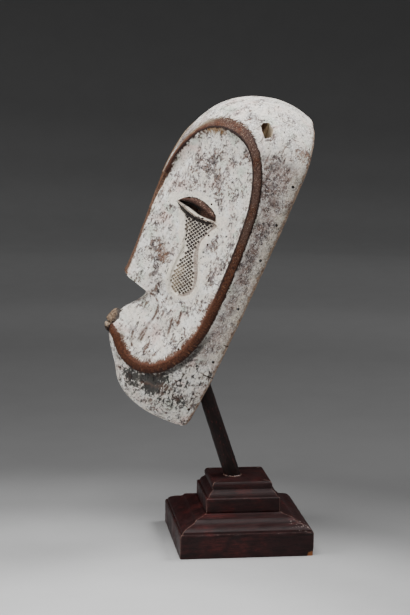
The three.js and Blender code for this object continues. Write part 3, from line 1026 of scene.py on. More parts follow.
def eyeGuides(height, forward):
    # depth inside each part of the eye, in the side view
    line = {key: f(forward) for key, f in eyeLine.items()}
    within = np.minimum(eye["inner"] - forward, forward - eye["outer"]) * guideSetup["eyeEnds"]
    lid = np.minimum.reduce([line["lid"] - height, height - line["slitTop"], within])
    slit = np.minimum.reduce([line["slitTop"] - height, height - line["slitFoot"], within])
    lower = np.minimum(1.0 - np.abs(height - line["lowerLid"] - 0.1), within + 1)
    band = np.minimum.reduce([height - line["bandFoot"], line["lowerLid"] - 0.8 - height, within + 0.5])
    return {"lidDepth": lid, "slitDepth": slit, "lowerDepth": lower, "bandDepth": band}


def paintGuides(points):
    # values for the paint, at points of the shell before it is carved
    g = guideSetup
    side, height, forward = np.abs(points[:, 0]), points[:, 1], points[:, 2]
    q = np.stack([side, height, forward], -1)
    share = np.linspace(0, 1, g["ridgeSteps"])
    crest, _, inward = ridgeFrames(share)
    crest = settle(crest)
    index, gap = nearest(treeOf(crest), q)
    across = np.where(np.sum((q - crest[index]) * inward[index], axis=1) > 0, gap, -gap)
    keel = keelWalk(np.linspace(0, g["noseEnd"], g["keelSteps"]))
    onKeel, noseGap = nearest(treeOf(keel), q)
    bridge = (side < keel[onKeel, 0] + g["noseWidening"]) & (forward > keel[onKeel, 2] - g["noseDepth"])
    noseGap = np.where(bridge & (height < keel[0, 1]), 0, noseGap)
    netDepth = depthInside(height, forward, tearPanel["net"])
    rear = np.array(g["rearMargin"], float)
    margin = np.interp(height, rear[:, 0], rear[:, 1]) - forward
    panelShade = np.minimum(depthInside(height, forward, tearPanel["outline"]), margin)
    panelShade = np.minimum(panelShade, 0.5 - netDepth)
    seen = {**eyeGuides(height, forward), "netDepth": netDepth, "panelShade": panelShade}
    away = np.where(side < eye["box"]["side"], g["hidden"], 0.0)
    onBand = smoothstep(-across, *g["onBand"])
    chin = smoothstep(height, *g["chin"]) * onBand
    guides = {
        "ridgeAcross": across,
        "ridgeRun": share[index] * ridge["length"],
        "noseEdge": noseGap,
        "soiled": soiledAt(q, onBand, chin),
        "browned": blobsAt(q, soil["brown"]),
        "charred": blobsAt(q, soil["charred"]) + g["charredAndShadedChin"] * chin,
        "craquelure": onBand * (1 - chin),
        "creaseGap": nearest(creaseTree, q * flatSide)[1],
    }
    guides.update({key: value + away for key, value in seen.items()})
    return {key: np.clip(value, *g["limits"]) for key, value in guides.items()}


handWork = {
    "slow": 0.35,
    "slowLength": 17,
    "facet": 0.32,
    "facetLength": 8.5,
    "facetLevel": 0.4,
    "rimWear": 1.6,
    "rimLength": 9,
    "rimForward": 3,
    "rimReach": 7,
}
gouges = {"depth": 1.1, "width": 7.0, "length": 19.0, "level": 0.35, "from": 8, "grown": 10}


def handCarved(points, normals, outer):
    # small unevenness of hand work, along the normals
    w, g = handWork, gouges
    out = np.zeros(len(points))
    for i, (p, outside) in enumerate(zip(points, outer)):
        v = Vector(p)
        move = w["slow"] * noise.noise(v / w["slowLength"])
        if outside:
            move -= w["facet"] * (noise.voronoi(v / w["facetLength"])[0][0] - w["facetLevel"])
            nearRim = max(0, 1 - abs(p[2] - w["rimForward"]) / w["rimReach"])
            move -= w["rimWear"] * nearRim * max(0, noise.noise(v / w["rimLength"] + Vector((7, 3, 1))))
        elif p[2] > g["from"]:
            cell = Vector((v.x / g["width"], v.y / g["length"], v.z / g["width"]))
            cut = noise.voronoi(cell)[0][0]
            move -= g["depth"] * (g["level"] - cut) * min(1, (p[2] - g["from"]) / g["grown"])
        out[i] = move
    return points + normals * out[:, None]


def weldedMesh(name, outer, inner):
    # triangles in millimetres to a welded mesh; faces of the hollow get the second material
    corners = np.concatenate([outer, inner]).reshape(-1, 3)
    keys, index = np.unique(np.round(corners, 4) + 0.0, axis=0, return_inverse=True)
    triangles = index.reshape(-1, 3)
    whole = (triangles[:, 0] != triangles[:, 1]) & (triangles[:, 1] != triangles[:, 2])
    whole &= triangles[:, 0] != triangles[:, 2]
    kind = np.r_[np.zeros(len(outer), int), np.ones(len(inner), int)][whole]
    mesh = bpy.data.meshes.new(name)
    mesh.from_pydata(keys.tolist(), [], triangles[whole].tolist())
    mesh.polygons.foreach_set("material_index", kind)
    return mesh


def refine(mesh):
    # halves the edges in the tear panel once and round the eye twice
    bm = bmesh.new()
    bm.from_mesh(mesh)
    bmesh.ops.dissolve_degenerate(bm, dist=1e-5, edges=bm.edges)
    f = fineness
    for zone in f["halved"]:
        chosen = []
        for e in bm.edges:
            c = (e.verts[0].co + e.verts[1].co) / 2
            inReach = abs(c.x) > f["halvedBeside"] and f["halvedBefore"] < c.z < zone["behind"]
            inReach = inReach and zone["above"] < c.y < f["halvedBelow"]
            if inReach and not any(p.material_index for p in e.link_faces):
                chosen.append(e)
        bmesh.ops.subdivide_edges(bm, edges=chosen, cuts=1)
        bmesh.ops.triangulate(bm, faces=[p for p in bm.faces if len(p.verts) > 3])
    bmesh.ops.recalc_face_normals(bm, faces=bm.faces)
    bm.to_mesh(mesh)
    bm.free()


outerTriangles, hollowTriangles = maskShell()
maskMesh = weldedMesh("carvedMask", outerTriangles, hollowTriangles)
refine(maskMesh)
shellPoints, _ = meshArrays(maskMesh)
guides = paintGuides(shellPoints)
isOuter = np.ones(len(maskMesh.vertices), bool)
for p in maskMesh.polygons:
    if p.material_index:
        isOuter[list(p.vertices)] = False
shellPoints[isOuter] = carve(shellPoints[isOuter])
setPoints(maskMesh, shellPoints)
shellPoints, shellNormals = meshArrays(maskMesh)
shellPoints = toWorld(handCarved(shellPoints, shellNormals, isOuter))
setPoints(maskMesh, shellPoints)
carvedMask = newObject("carvedMask", maskMesh)
print("mask shell:", len(maskMesh.polygons), "triangles,", openEdges(maskMesh), "open edges")


# The mouth: a stub oval with an upper and a lower lip either side of a slit

mouth = {
    "centre": [0, 53.4, 95.2],
    "half": [7.0, 11.0, 6.9],
    "power": 2.5,
    "rings": 44,
    "around": 64,
    "lipLine": 0.9,
    "lineHeight": -2.6,
    "lipSink": 3.4,
    "upperFlat": 0.3,
    "sideFlat": 0.22,
    # its paint: the outline's share of the half sizes, their mean, and how far the paint may reach
    "painted": 1.12,
    "meanHalf": 10,
    "paintReach": 1.3,
}


def mouthStub():
    m = mouth
    points = []
    for i in range(m["rings"] + 1):
        a = math.pi * i / m["rings"]
        for j in range(m["around"]):
            b = 2 * math.pi * j / m["around"]
            way = np.array([math.sin(a) * math.cos(b), math.sin(a) * math.sin(b), math.cos(a)])
            share = np.sum(np.abs(way) ** m["power"]) ** (-1 / m["power"])
            p = way * share * np.array(m["half"])
            if p[2] > 0:
                line = math.exp(-(((p[1] - m["lineHeight"]) / m["lipLine"]) ** 2))
                p[2] -= m["lipSink"] * line * min(1, p[2] / m["half"][2])
                p[2] *= 1 - m["upperFlat"] * max(0, p[1] / m["half"][1])
                p[0] *= 1 - m["sideFlat"] * max(0, p[1] / m["half"][1])
            points.append(p + np.array(m["centre"]))
    mesh = bpy.data.meshes.new("mouth")
    places = [tuple(p) for p in toWorld(np.array(points))]
    mesh.from_pydata(places, [], ringFaces(m["rings"], m["around"]))
    mend(mesh, weld=1e-6)
    return mesh


# Holes: the eye slits, the cord holes, the holes along the rim, pinholes and cracks

holes = {
    "cord": {
        "outline": [[55.8, 258.5, 49.8], [53.4, 261.5, 48.3], [53.2, 263.4, 43.6], [58.6, 259.2, 39.1],
                    [62.8, 253.5, 38.5], [63.7, 249.9, 44], [59.6, 254.6, 47.8]],
        "way": [0.747, 0.623, 0.231],
        "depth": 30,
        "narrowing": 0.42,
    },
    "rim": {"heights": [6, 55.5, 107.5, 153.5, 186.5, 221.5], "forward": 7.5, "diameter": 2.6, "depth": 15},
    "pins": {
        "places": [[24.6, 178.8, 77.9], [38.6, 181.2, 60.4], [40.1, 155.7, 52.7], [40.3, 148, 50.8],
                   [35.2, 64.6, 40], [35.9, 54.5, 38.7]],
        "diameter": 2.0,
        "depth": 4,
    },
    "cracks": [
        [[37.5, 42.4, 14.5], [37.2, 41.5, 8.7], [35.9, 41.1, 0]],
        [[46.5, 73.1, 6.4], [45.6, 73, 3.4], [43.6, 72.9, 0]],
    ],
    "crackWidth": 0.9,
    "crackDepth": 4,
}


def prism(outline, way, depth, above=3.0, narrowing=1.0):
    # a tool with the outline's shape, from above the surface to a depth below it
    p = np.array(outline, float)
    way = np.array(way, float) / np.linalg.norm(way)
    middle = p.mean(0)
    top = middle + (p - middle) * (1 + (1 - narrowing) * above / depth) + way * above
    foot = middle + (p - middle) * narrowing - way * depth
    count = len(p)
    faces = [list(range(count)), list(range(2 * count - 1, count - 1, -1))]
    faces += [[i, i + count, (i + 1) % count + count, (i + 1) % count] for i in range(count)]
    return np.vstack([top, foot]), faces


def drill(centre, way, diameter, depth, above=3.0, sides=10, narrowing=0.8):
    way = np.array(way, float) / np.linalg.norm(way)
    level = np.cross(way, (0, 0, 1.0))
    level /= np.linalg.norm(level)
    upright = np.cross(way, level)
    turns = [2 * math.pi * k / sides for k in range(sides)]
    ring = [np.array(centre) + diameter / 2 * (math.cos(a) * level + math.sin(a) * upright) for a in turns]
    return prism(ring, way, depth, above, narrowing)


def eyeHole():
    h = eye["hole"]
    forwards = np.linspace(h["from"], h["to"], 15)
    taper = np.sqrt(np.clip(np.sin(np.pi * (forwards - h["from"]) / (h["to"] - h["from"])), 0, 1))
    top, foot = eyeLine["slitTop"](forwards) - h["inset"], eyeLine["slitFoot"](forwards) + h["inset"]
    middle, half = (top + foot) / 2, (top - foot) / 2 * taper
    outline = [[h["depth"][1], m + s, f] for m, s, f in zip(middle, half, forwards)]
    outline += [[h["depth"][1], m - s, f] for m, s, f in zip(middle, half, forwards)][-2:0:-1]
    return prism(outline, (1, 0, 0), h["depth"][1] - h["depth"][0], 0.0)


def crackCut(path):
    # a thin wedge that follows the path over the surface
    inwards = np.array([-1.0, -0.1, 0])
    wide = np.array([0, holes["crackWidth"] / 2, 0])
    p = np.array(path, float)
    outline = np.vstack([p + wide * [[0.3], [1], [1]], (p - wide * [[0.3], [1], [1]])[::-1]])
    return prism(outline, -inwards, holes["crackDepth"], 2.0)


def holeCuts():
    cord, rim, pins = holes["cord"], holes["rim"], holes["pins"]
    cuts = [eyeHole(), prism(cord["outline"], cord["way"], cord["depth"], 6.0, cord["narrowing"])]
    for height in rim["heights"]:
        across = rimLine(latitudeOf(np.array([float(height)])))[0, 0]
        cuts.append(drill([across, height, rim["forward"]], (1, 0.1, 0.12), rim["diameter"], rim["depth"]))
    for place in pins["places"]:
        cuts.append(drill(place, (0.85, 0, 0.5), pins["diameter"], pins["depth"], sides=8, narrowing=0.4))
    cuts += [crackCut(path) for path in holes["cracks"]]
    both = []
    for points, faces in cuts:
        both += [(toWorld(np.array(points)), faces), (toWorld(np.array(points) * (-1, 1, 1)), faces)]
    return closedMesh("holeCuts", both)


# The net of the tear panels: rows of small pits, with thin walls left between them

netCarving = {
    "Pitch": 2.35,
    "Pit Radius": 1.66,
    "Pit Floor": 1.25,
    "Pit Depth": 1.3,
    "Pit Stretch": 1.14,
    "Stand Off": 0.2,
    "Least Size": 0.86,
    "Most Size": 0.99,
    "Seed": 7,
    "rows": 45,
    "sides": 4,
    "angles": (56, -30),
    "centre": [0, 132, 61],
    "outside": 200,
    "reach": 300,
}


def sideWay(degrees):
    # a way in the side view, as an angle from the mask's length towards the front
    a = math.radians(degrees)
    s, c = math.sin(maskFrame["lean"]), math.cos(maskFrame["lean"])
    up, forward = math.cos(a), math.sin(a)
    return Vector((0, up * s - forward * c, up * c + forward * s))


def netTree(pitMaterial):
    w = netCarving
    inputs = [("Geometry", "Geometry", None), ("Mask", "Object", None)]
    for key in (key for key in w if key[0].isupper() and key != "Seed"):
        inputs.append((key, "Float", w[key]))
    inputs.append(("Seed", "Int", w["Seed"]))
    tree, n, entry, leave = newGroup("netOfPits", "GeometryNodeTree", inputs, [("Geometry", "Geometry")])
    pitch = n.product(entry["Pitch"], mm)
    width = n.product(pitch, w["rows"] - 1.0)
    sizes = {"Size X": width, "Size Y": width, "Vertices X": w["rows"], "Vertices Y": w["rows"]}
    grid = n.fed("GeometryNodeMeshGrid", sizes)["Mesh"]
    x, y, _ = n.split(n.add("GeometryNodeInputPosition").outputs[0])
    ways = [sideWay(a) for a in w["angles"]]
    lattice = n.vector("ADD", n.scaled(tuple(ways[0]), x), n.scaled(tuple(ways[1]), y))
    centre = toWorld(np.array([w["centre"]], float))[0]
    position = n.vector("ADD", lattice, tuple(centre))
    laid = n.fed("GeometryNodeSetPosition", {"Geometry": grid, "Position": position})["Geometry"]
    outside = n.vector("ADD", n.add("GeometryNodeInputPosition").outputs[0], (w["outside"] * mm, 0, 0))

    def rayTo(target):
        return n.fed("GeometryNodeRaycast", {
            "Target Geometry": target,
            "Source Position": outside,
            "Ray Direction": (-1, 0, 0),
            "Ray Length": w["reach"] * mm,
        })

    hit = rayTo(entry["Geometry"])["Is Hit"]
    missed = n.fed("FunctionNodeBooleanMath", [hit], operation="NOT")[0]
    chosen = {"Geometry": laid, "Selection": missed}
    kept = n.fed("GeometryNodeDeleteGeometry", chosen, domain="POINT")["Geometry"]
    mask = n.fed("GeometryNodeObjectInfo", {"Object": entry["Mask"]}, transform_space="ORIGINAL")
    surface = rayTo(mask["Geometry"])
    standOff = n.scaled(surface["Hit Normal"], n.product(entry["Stand Off"], mm))
    lifted = {"Geometry": kept, "Position": n.vector("ADD", surface["Hit Position"], standOff)}
    placed = n.fed("GeometryNodeSetPosition", lifted)["Geometry"]
    facing = {"Vector": n.scaled(surface["Hit Normal"], -1.0)}
    inwards = n.fed("FunctionNodeAlignRotationToVector", facing, axis="Z")["Rotation"]
    slanting = {"Rotation": inwards, "Vector": tuple(ways[0] + ways[1])}
    turned = n.fed("FunctionNodeAlignRotationToVector", slanting, axis="X", pivot_axis="Z")["Rotation"]
    pit = n.fed("GeometryNodeMeshCone", {
        "Vertices": w["sides"],
        "Radius Bottom": n.product(entry["Pit Radius"], mm),
        "Radius Top": n.product(entry["Pit Floor"], mm),
        "Depth": n.product(entry["Pit Depth"], mm),
    })["Mesh"]
    longer = {"Geometry": pit, "Scale": n.joined(1.0, entry["Pit Stretch"], 1.0)}
    stretched = n.fed("GeometryNodeTransform", longer)["Geometry"]
    sizeRange = {2: entry["Least Size"], 3: entry["Most Size"], "Seed": entry["Seed"]}
    size = n.fed("FunctionNodeRandomValue", sizeRange, data_type="FLOAT")[1]
    copies = {"Points": placed, "Instance": stretched, "Rotation": turned, "Scale": size}
    pits = n.fed("GeometryNodeInstanceOnPoints", copies)["Instances"]
    mirrored = n.fed("GeometryNodeTransform", {"Geometry": pits, "Scale": (-1, 1, 1)})["Geometry"]
    realMirror = n.fed("GeometryNodeRealizeInstances", {"Geometry": mirrored})["Geometry"]
    both = n.add("GeometryNodeJoinGeometry")
    for half in (pits, realMirror):
        n.put(both.inputs["Geometry"], half)
    finishTree(n, leave, both.outputs["Geometry"], pitMaterial)
    return tree


def netPits(mask, pitMaterial):
    outline = smoothLine([[110, *q] for q in tearPanel["net"] + tearPanel["net"][:1]], 4)[:-1]
    flat = bpy.data.meshes.new("netOutline")
    flat.from_pydata([tuple(p) for p in toWorld(outline)], [], [list(range(len(outline)))])
    source = newObject("netPits", flat)
    values = {key: value for key, value in netCarving.items() if key[0].isupper()}
    growFrom(source, netTree(pitMaterial), {"Mask": mask, **values})
    mend(source.data)
    return source


# Paint and wood of the mask

maskColours = {
    "kaolin": tone(240, 232, 220),
    "kaolinBright": tone(252, 249, 243),
    "kaolinPink": tone(238, 218, 208),
    "kaolinGreen": tone(222, 226, 212),
    "cream": tone(238, 224, 198),
    "washedGrey": tone(158, 140, 132),
    "markGrey": tone(94, 82, 83),
    "markBrown": tone(104, 74, 60),
    "markDark": tone(52, 43, 41),
    "brownWood": tone(126, 88, 64),
    "sootAndShadow": tone(30, 27, 26),
    "charGreen": tone(82, 84, 80),
    "ridge": tone(112, 65, 40),
    "ridgeDark": tone(56, 27, 15),
    "ridgePurple": tone(98, 76, 67),
    # near black for painted shadow in grooves and under proud edges
    "creaseShadow": tone(30, 12, 6),
    "tan": tone(176, 138, 106),
    "ochre": tone(148, 106, 50),
    "lid": tone(98, 70, 60),
    "lidDark": tone(48, 29, 23),
    "slit": tone(14, 8, 6),
    "lowerLid": tone(186, 166, 146),
    "stump": tone(146, 124, 102),
    "hollowWood": tone(110, 74, 48),
    "hollowDark": tone(50, 32, 22),
}


def maskPlace(n):
    # object coordinates turned to the mask's own frame: across, back, along
    s, c = math.sin(maskFrame["lean"]), math.cos(maskFrame["lean"])
    footY, footZ = maskFrame["rimFootY"], maskFrame["rimFootZ"]
    shift = (0, c * -footY + s * footZ, s * -footY - c * footZ)
    coordinates = n.add("ShaderNodeTexCoord").outputs["Object"]
    return n.mapped(coordinates, (1 / mm,) * 3, (maskFrame["lean"], 0, 0), shift)


# Flecks in the ground: width and length in millimetres, and how many more than elsewhere
kaolinMarks = {
    "wide": (4.5, 11.0, 0.1),
    "long": (2.0, 7.5, 0.0),
    "short": (1.8, 5.0, -0.05),
    "flat": (1.8, 6.0, 0.0),
    "scrape": (1.1, 16.0, 0.0),
    "deepest": (1.5, 4.5, -0.22),
}
markTurns = {"tilted": (14, 9, 0), "leaning": (-40, -20, 0), "lying": (82, 10, 0)}


def groundColour(n, own, coarse, halo):
    c = maskColours
    paint = n.mix(n.step(coarse, 0.36, 0.66), c["kaolin"], c["kaolinBright"])
    pinkish = n.step(n.noise(n.mapped(own, shift=(40, 0, 9)), 0.06, 3.0), 0.5, 0.7)
    greenish = n.step(n.noise(n.mapped(own, shift=(0, 70, 3)), 0.07, 3.0), 0.52, 0.72)
    paint = n.mix(pinkish, paint, c["kaolinPink"])
    paint = n.mix(greenish, paint, c["kaolinGreen"])
    return n.mix(n.product(halo, 0.75), paint, n.mix(0.5, c["cream"], c["kaolinBright"]))


def kaolinPaint(n, own):
    # the white ground with its marks: colour and height
    c = maskColours
    ways = {key: tuple(math.radians(a) for a in turn) for key, turn in markTurns.items()}
    tilted, leaning, lying = (n.mapped(own, turn=ways[key]) for key in ("tilted", "leaning", "lying"))
    coarse = n.noise(own, 0.11, 3.0)
    carved = n.maths("MAXIMUM", n.attribute("lidDepth"), n.attribute("netDepth"))
    halo = n.step(n.sum(carved, n.product(n.noise(own, 0.2, 3.0), 5.0)), -4.5, -1.5)
    paint = groundColour(n, own, coarse, halo)
    grains = n.noise(own, 0.42, 5.0, 0.72)
    shade = n.step(grains, 0.34, 0.6, 0.78, 1.1)
    paint = n.mix(1.0, paint, n.joined(shade, shade, shade), "MULTIPLY")

    # the lilac grey wash of the side, and the creamy strip along the rim
    _, back, _ = n.split(own)
    forward = n.sum(n.product(back, -1.0), n.product(n.noise(own, 0.2, 3.0), 12.0))
    nearRim = n.step(forward, 12.0, 22.0, 1.0, 0.0)
    onSide = n.product(n.attribute("craquelure"), n.step(n.attribute("soiled"), 0.36, 0.56))
    cloudy = n.step(n.noise(own, 0.13, 3.0, 0.6), 0.36, 0.6, 0.3, 0.85)
    wash = n.product(onSide, cloudy, n.step(nearRim, 0.0, 1.0, 1.0, 0.45))
    paint = n.mix(wash, paint, c["washedGrey"])
    paint = n.mix(n.product(nearRim, onSide, 0.4), paint, c["cream"])

    # how much of the ground the marks take
    patchy = n.noise(n.mapped(tilted, (1, 1, 0.6)), 0.1, 4.0, 0.6)
    patchy = n.step(patchy, 0.32, 0.68, -0.32, 0.32)
    broken = n.step(n.noise(n.mapped(own, shift=(5, 17, 3)), 0.2, 3.0), 0.34, 0.66, 0.55, 1.3)
    share = n.sum(n.product(n.attribute("soiled"), broken), patchy, n.product(halo, -0.6))
    share = n.sum(share, n.product(nearRim, onSide, -0.35))
    share = n.maths("MINIMUM", share, 0.9)

    def marks(kind, place, shift=(0, 0, 0)):
        width, length, more = kaolinMarks[kind]
        shifted = n.mapped(place, shift=shift)
        return n.group(flecks, Place=shifted, Width=width, Length=length, Share=n.sum(share, more))["Mask"]

    turning = n.step(n.noise(n.mapped(own, shift=(31, 4, 50)), 0.05, 2.0), 0.47, 0.55)
    crossing = n.mixNumber(turning, marks("short", leaning), marks("flat", lying))
    calm = n.step(onSide, 0.0, 1.0, 1.0, 0.62)
    strongest = n.maths("MAXIMUM", n.product(marks("long", tilted), 0.74), n.product(crossing, 0.88))
    marked = n.product(strongest, calm)
    wide = marks("wide", tilted, (13, 5, 31))
    markTone = n.mix(n.step(n.noise(own, 0.16, 2.0), 0.42, 0.62), c["markGrey"], c["markBrown"])
    paint = n.mix(n.product(marks("scrape", tilted, (2, 9, 60)), 0.4), paint, markTone)
    paint = n.mix(n.product(wide, 0.26), paint, markTone)
    paint = n.mix(marked, paint, markTone)
    paint = n.mix(n.product(marks("deepest", leaning, (3, 50, 7)), 0.85), paint, c["markDark"])

    # fine cracks and specks
    bent = n.vector("ADD", n.mapped(own, (1, 1, 0.6)), n.scaled(n.joined(grains, coarse, grains), 6.0))
    net = n.cells(bent, 0.42, "DISTANCE_TO_EDGE")
    crazed = n.product(n.step(net, 0.05, 0.2, 1.0, 0.0), n.attribute("craquelure"))
    crazed = n.product(crazed, n.step(n.sum(coarse, n.product(share, 0.1)), 0.42, 0.62, 0.1, 0.5))
    paint = n.mix(crazed, paint, c["markGrey"])
    specks = n.noise(own, 0.8, 3.0, 0.7)
    darkSpecks = n.product(onSide, n.step(specks, 0.36, 0.46, 0.6, 0.0))
    paint = n.mix(darkSpecks, paint, markTone)
    paleSpecks = n.product(n.step(onSide, 0.0, 1.0, 0.2, 1.0), n.step(specks, 0.55, 0.64, 0.0, 0.75))
    paint = n.mix(paleSpecks, paint, c["kaolinBright"])
    height = n.sum(n.product(grains, 0.9), n.product(marked, -0.6), n.product(crazed, -0.3))
    return paint, n.sum(height, n.product(wide, -0.4))


def brownPatches(n, own, paint):
    # wood laid bare, the blackened chin (partly char, partly painted shadow below the ridge) and the rubbed
    # rim: colour, and where the paint is gone
    c = maskColours
    torn = n.noise(own, 0.42, 5.0, 0.75)
    leaning = n.mapped(own, turn=(0.5, 0, 0))
    streak = n.group(flecks, Place=leaning, Width=1.0, Length=3.6, Share=0.72)["Mask"]
    bare = n.sum(n.product(n.attribute("browned"), 0.5), n.product(torn, 2.2), n.product(streak, 0.3))
    bare = n.step(bare, 1.68, 1.84)
    wood = n.mix(n.product(streak, 0.8), c["brownWood"], c["markBrown"])
    paint = n.mix(n.product(bare, 0.75), paint, wood)
    blackMottle = n.noise(n.mapped(own, (1, 1.3, 0.75), (math.radians(-30), 0, 0)), 0.3, 5.0, 0.7, 0.3)
    dark = n.sum(n.product(n.attribute("charred"), 0.5), n.product(blackMottle, 3.2))
    dark = n.step(dark, 1.93, 2.08)
    smoke = n.step(n.noise(own, 0.12, 3.0), 0.47, 0.6)
    sootAndShade = n.mix(n.product(smoke, 0.4), c["sootAndShadow"], c["charGreen"])
    brownish = n.step(n.noise(n.mapped(own, shift=(9, 9, 9)), 0.1, 3.0), 0.54, 0.66, 0.0, 0.7)
    sootAndShade = n.mix(brownish, sootAndShade, c["markBrown"])
    paint = n.mix(n.product(dark, 0.93), paint, sootAndShade)
    _, back, _ = n.split(own)
    worn = n.sum(n.product(back, -1.0), n.product(n.noise(own, 0.22, 5.0, 0.7), 12.0))
    rim = n.step(worn, 8.0, 9.8, 1.0, 0.0)
    rimTone = n.mix(n.step(n.noise(own, 0.5, 4.0), 0.35, 0.65), c["markBrown"], c["tan"])
    return n.mix(n.product(rim, 0.72), paint, rimTone), n.maths("MAXIMUM", bare, dark)


# Stretches of the ridge that differ, in millimetres along it from the root of the nose:
# where each starts and ends, and over what length it fades
ridgeStretches = {
    "brow": (30.0, 105.0, 14.0),
    "jaw": (250.0, 396.0, 14.0),
    "dusty": (40.0, 205.0, 25.0),
    "temple": (72.0, 135.0, 20.0),
    "speckled": (60.0, 225.0, 25.0),
    "outerLine": (108.0, 300.0, 12.0),
    "ochre": (60.0, 82.0, 6.0),
    "shadow": (285.0, 345.0, 12.0),
}


def fadedStart(n, across, lengthwise, run):
    # the worn stretch of the ridge beside the root of the nose, with painted shade along its inner edge
    c = maskColours
    streaky = n.sum(across, n.product(n.sum(lengthwise, -0.5), 9.0))
    faded = n.mix(n.step(streaky, -6.0, -2.5), c["cream"], c["stump"])
    fadedBrown = n.mix(0.35, n.mix(0.5, c["ridgePurple"], c["ridge"]), c["ridgeDark"])
    faded = n.mix(n.step(streaky, -3.5, 0.5), faded, fadedBrown)
    innerEdgeShade = n.product(n.step(streaky, 0.6, 2.6), n.step(run, 12.0, 40.0, 0.35, 0.9))
    return n.mix(innerEdgeShade, faded, c["ridgeDark"])


def jawSlope(n, torn, grainy, scratches):
    # the ridge at the jaw, from painted shadow at its outer edge to the tan slope inside it
    c = maskColours
    slope = n.mix(n.step(torn, -5.5, -3.5), c["creaseShadow"], c["ridgeDark"])
    slope = n.mix(n.step(torn, -4.0, 0.0, 0.0, 0.72), slope, c["ridge"])
    slope = n.mix(n.step(torn, 4.5, 8.0), slope, c["brownWood"])
    slope = n.mix(n.product(n.step(torn, 6.0, 9.0), 0.9), slope, c["tan"])
    slope = n.mix(n.step(grainy, 0.38, 0.56, 0.85, 0.0), slope, c["ridgeDark"])
    return n.mix(n.product(scratches, 0.5), slope, c["tan"])


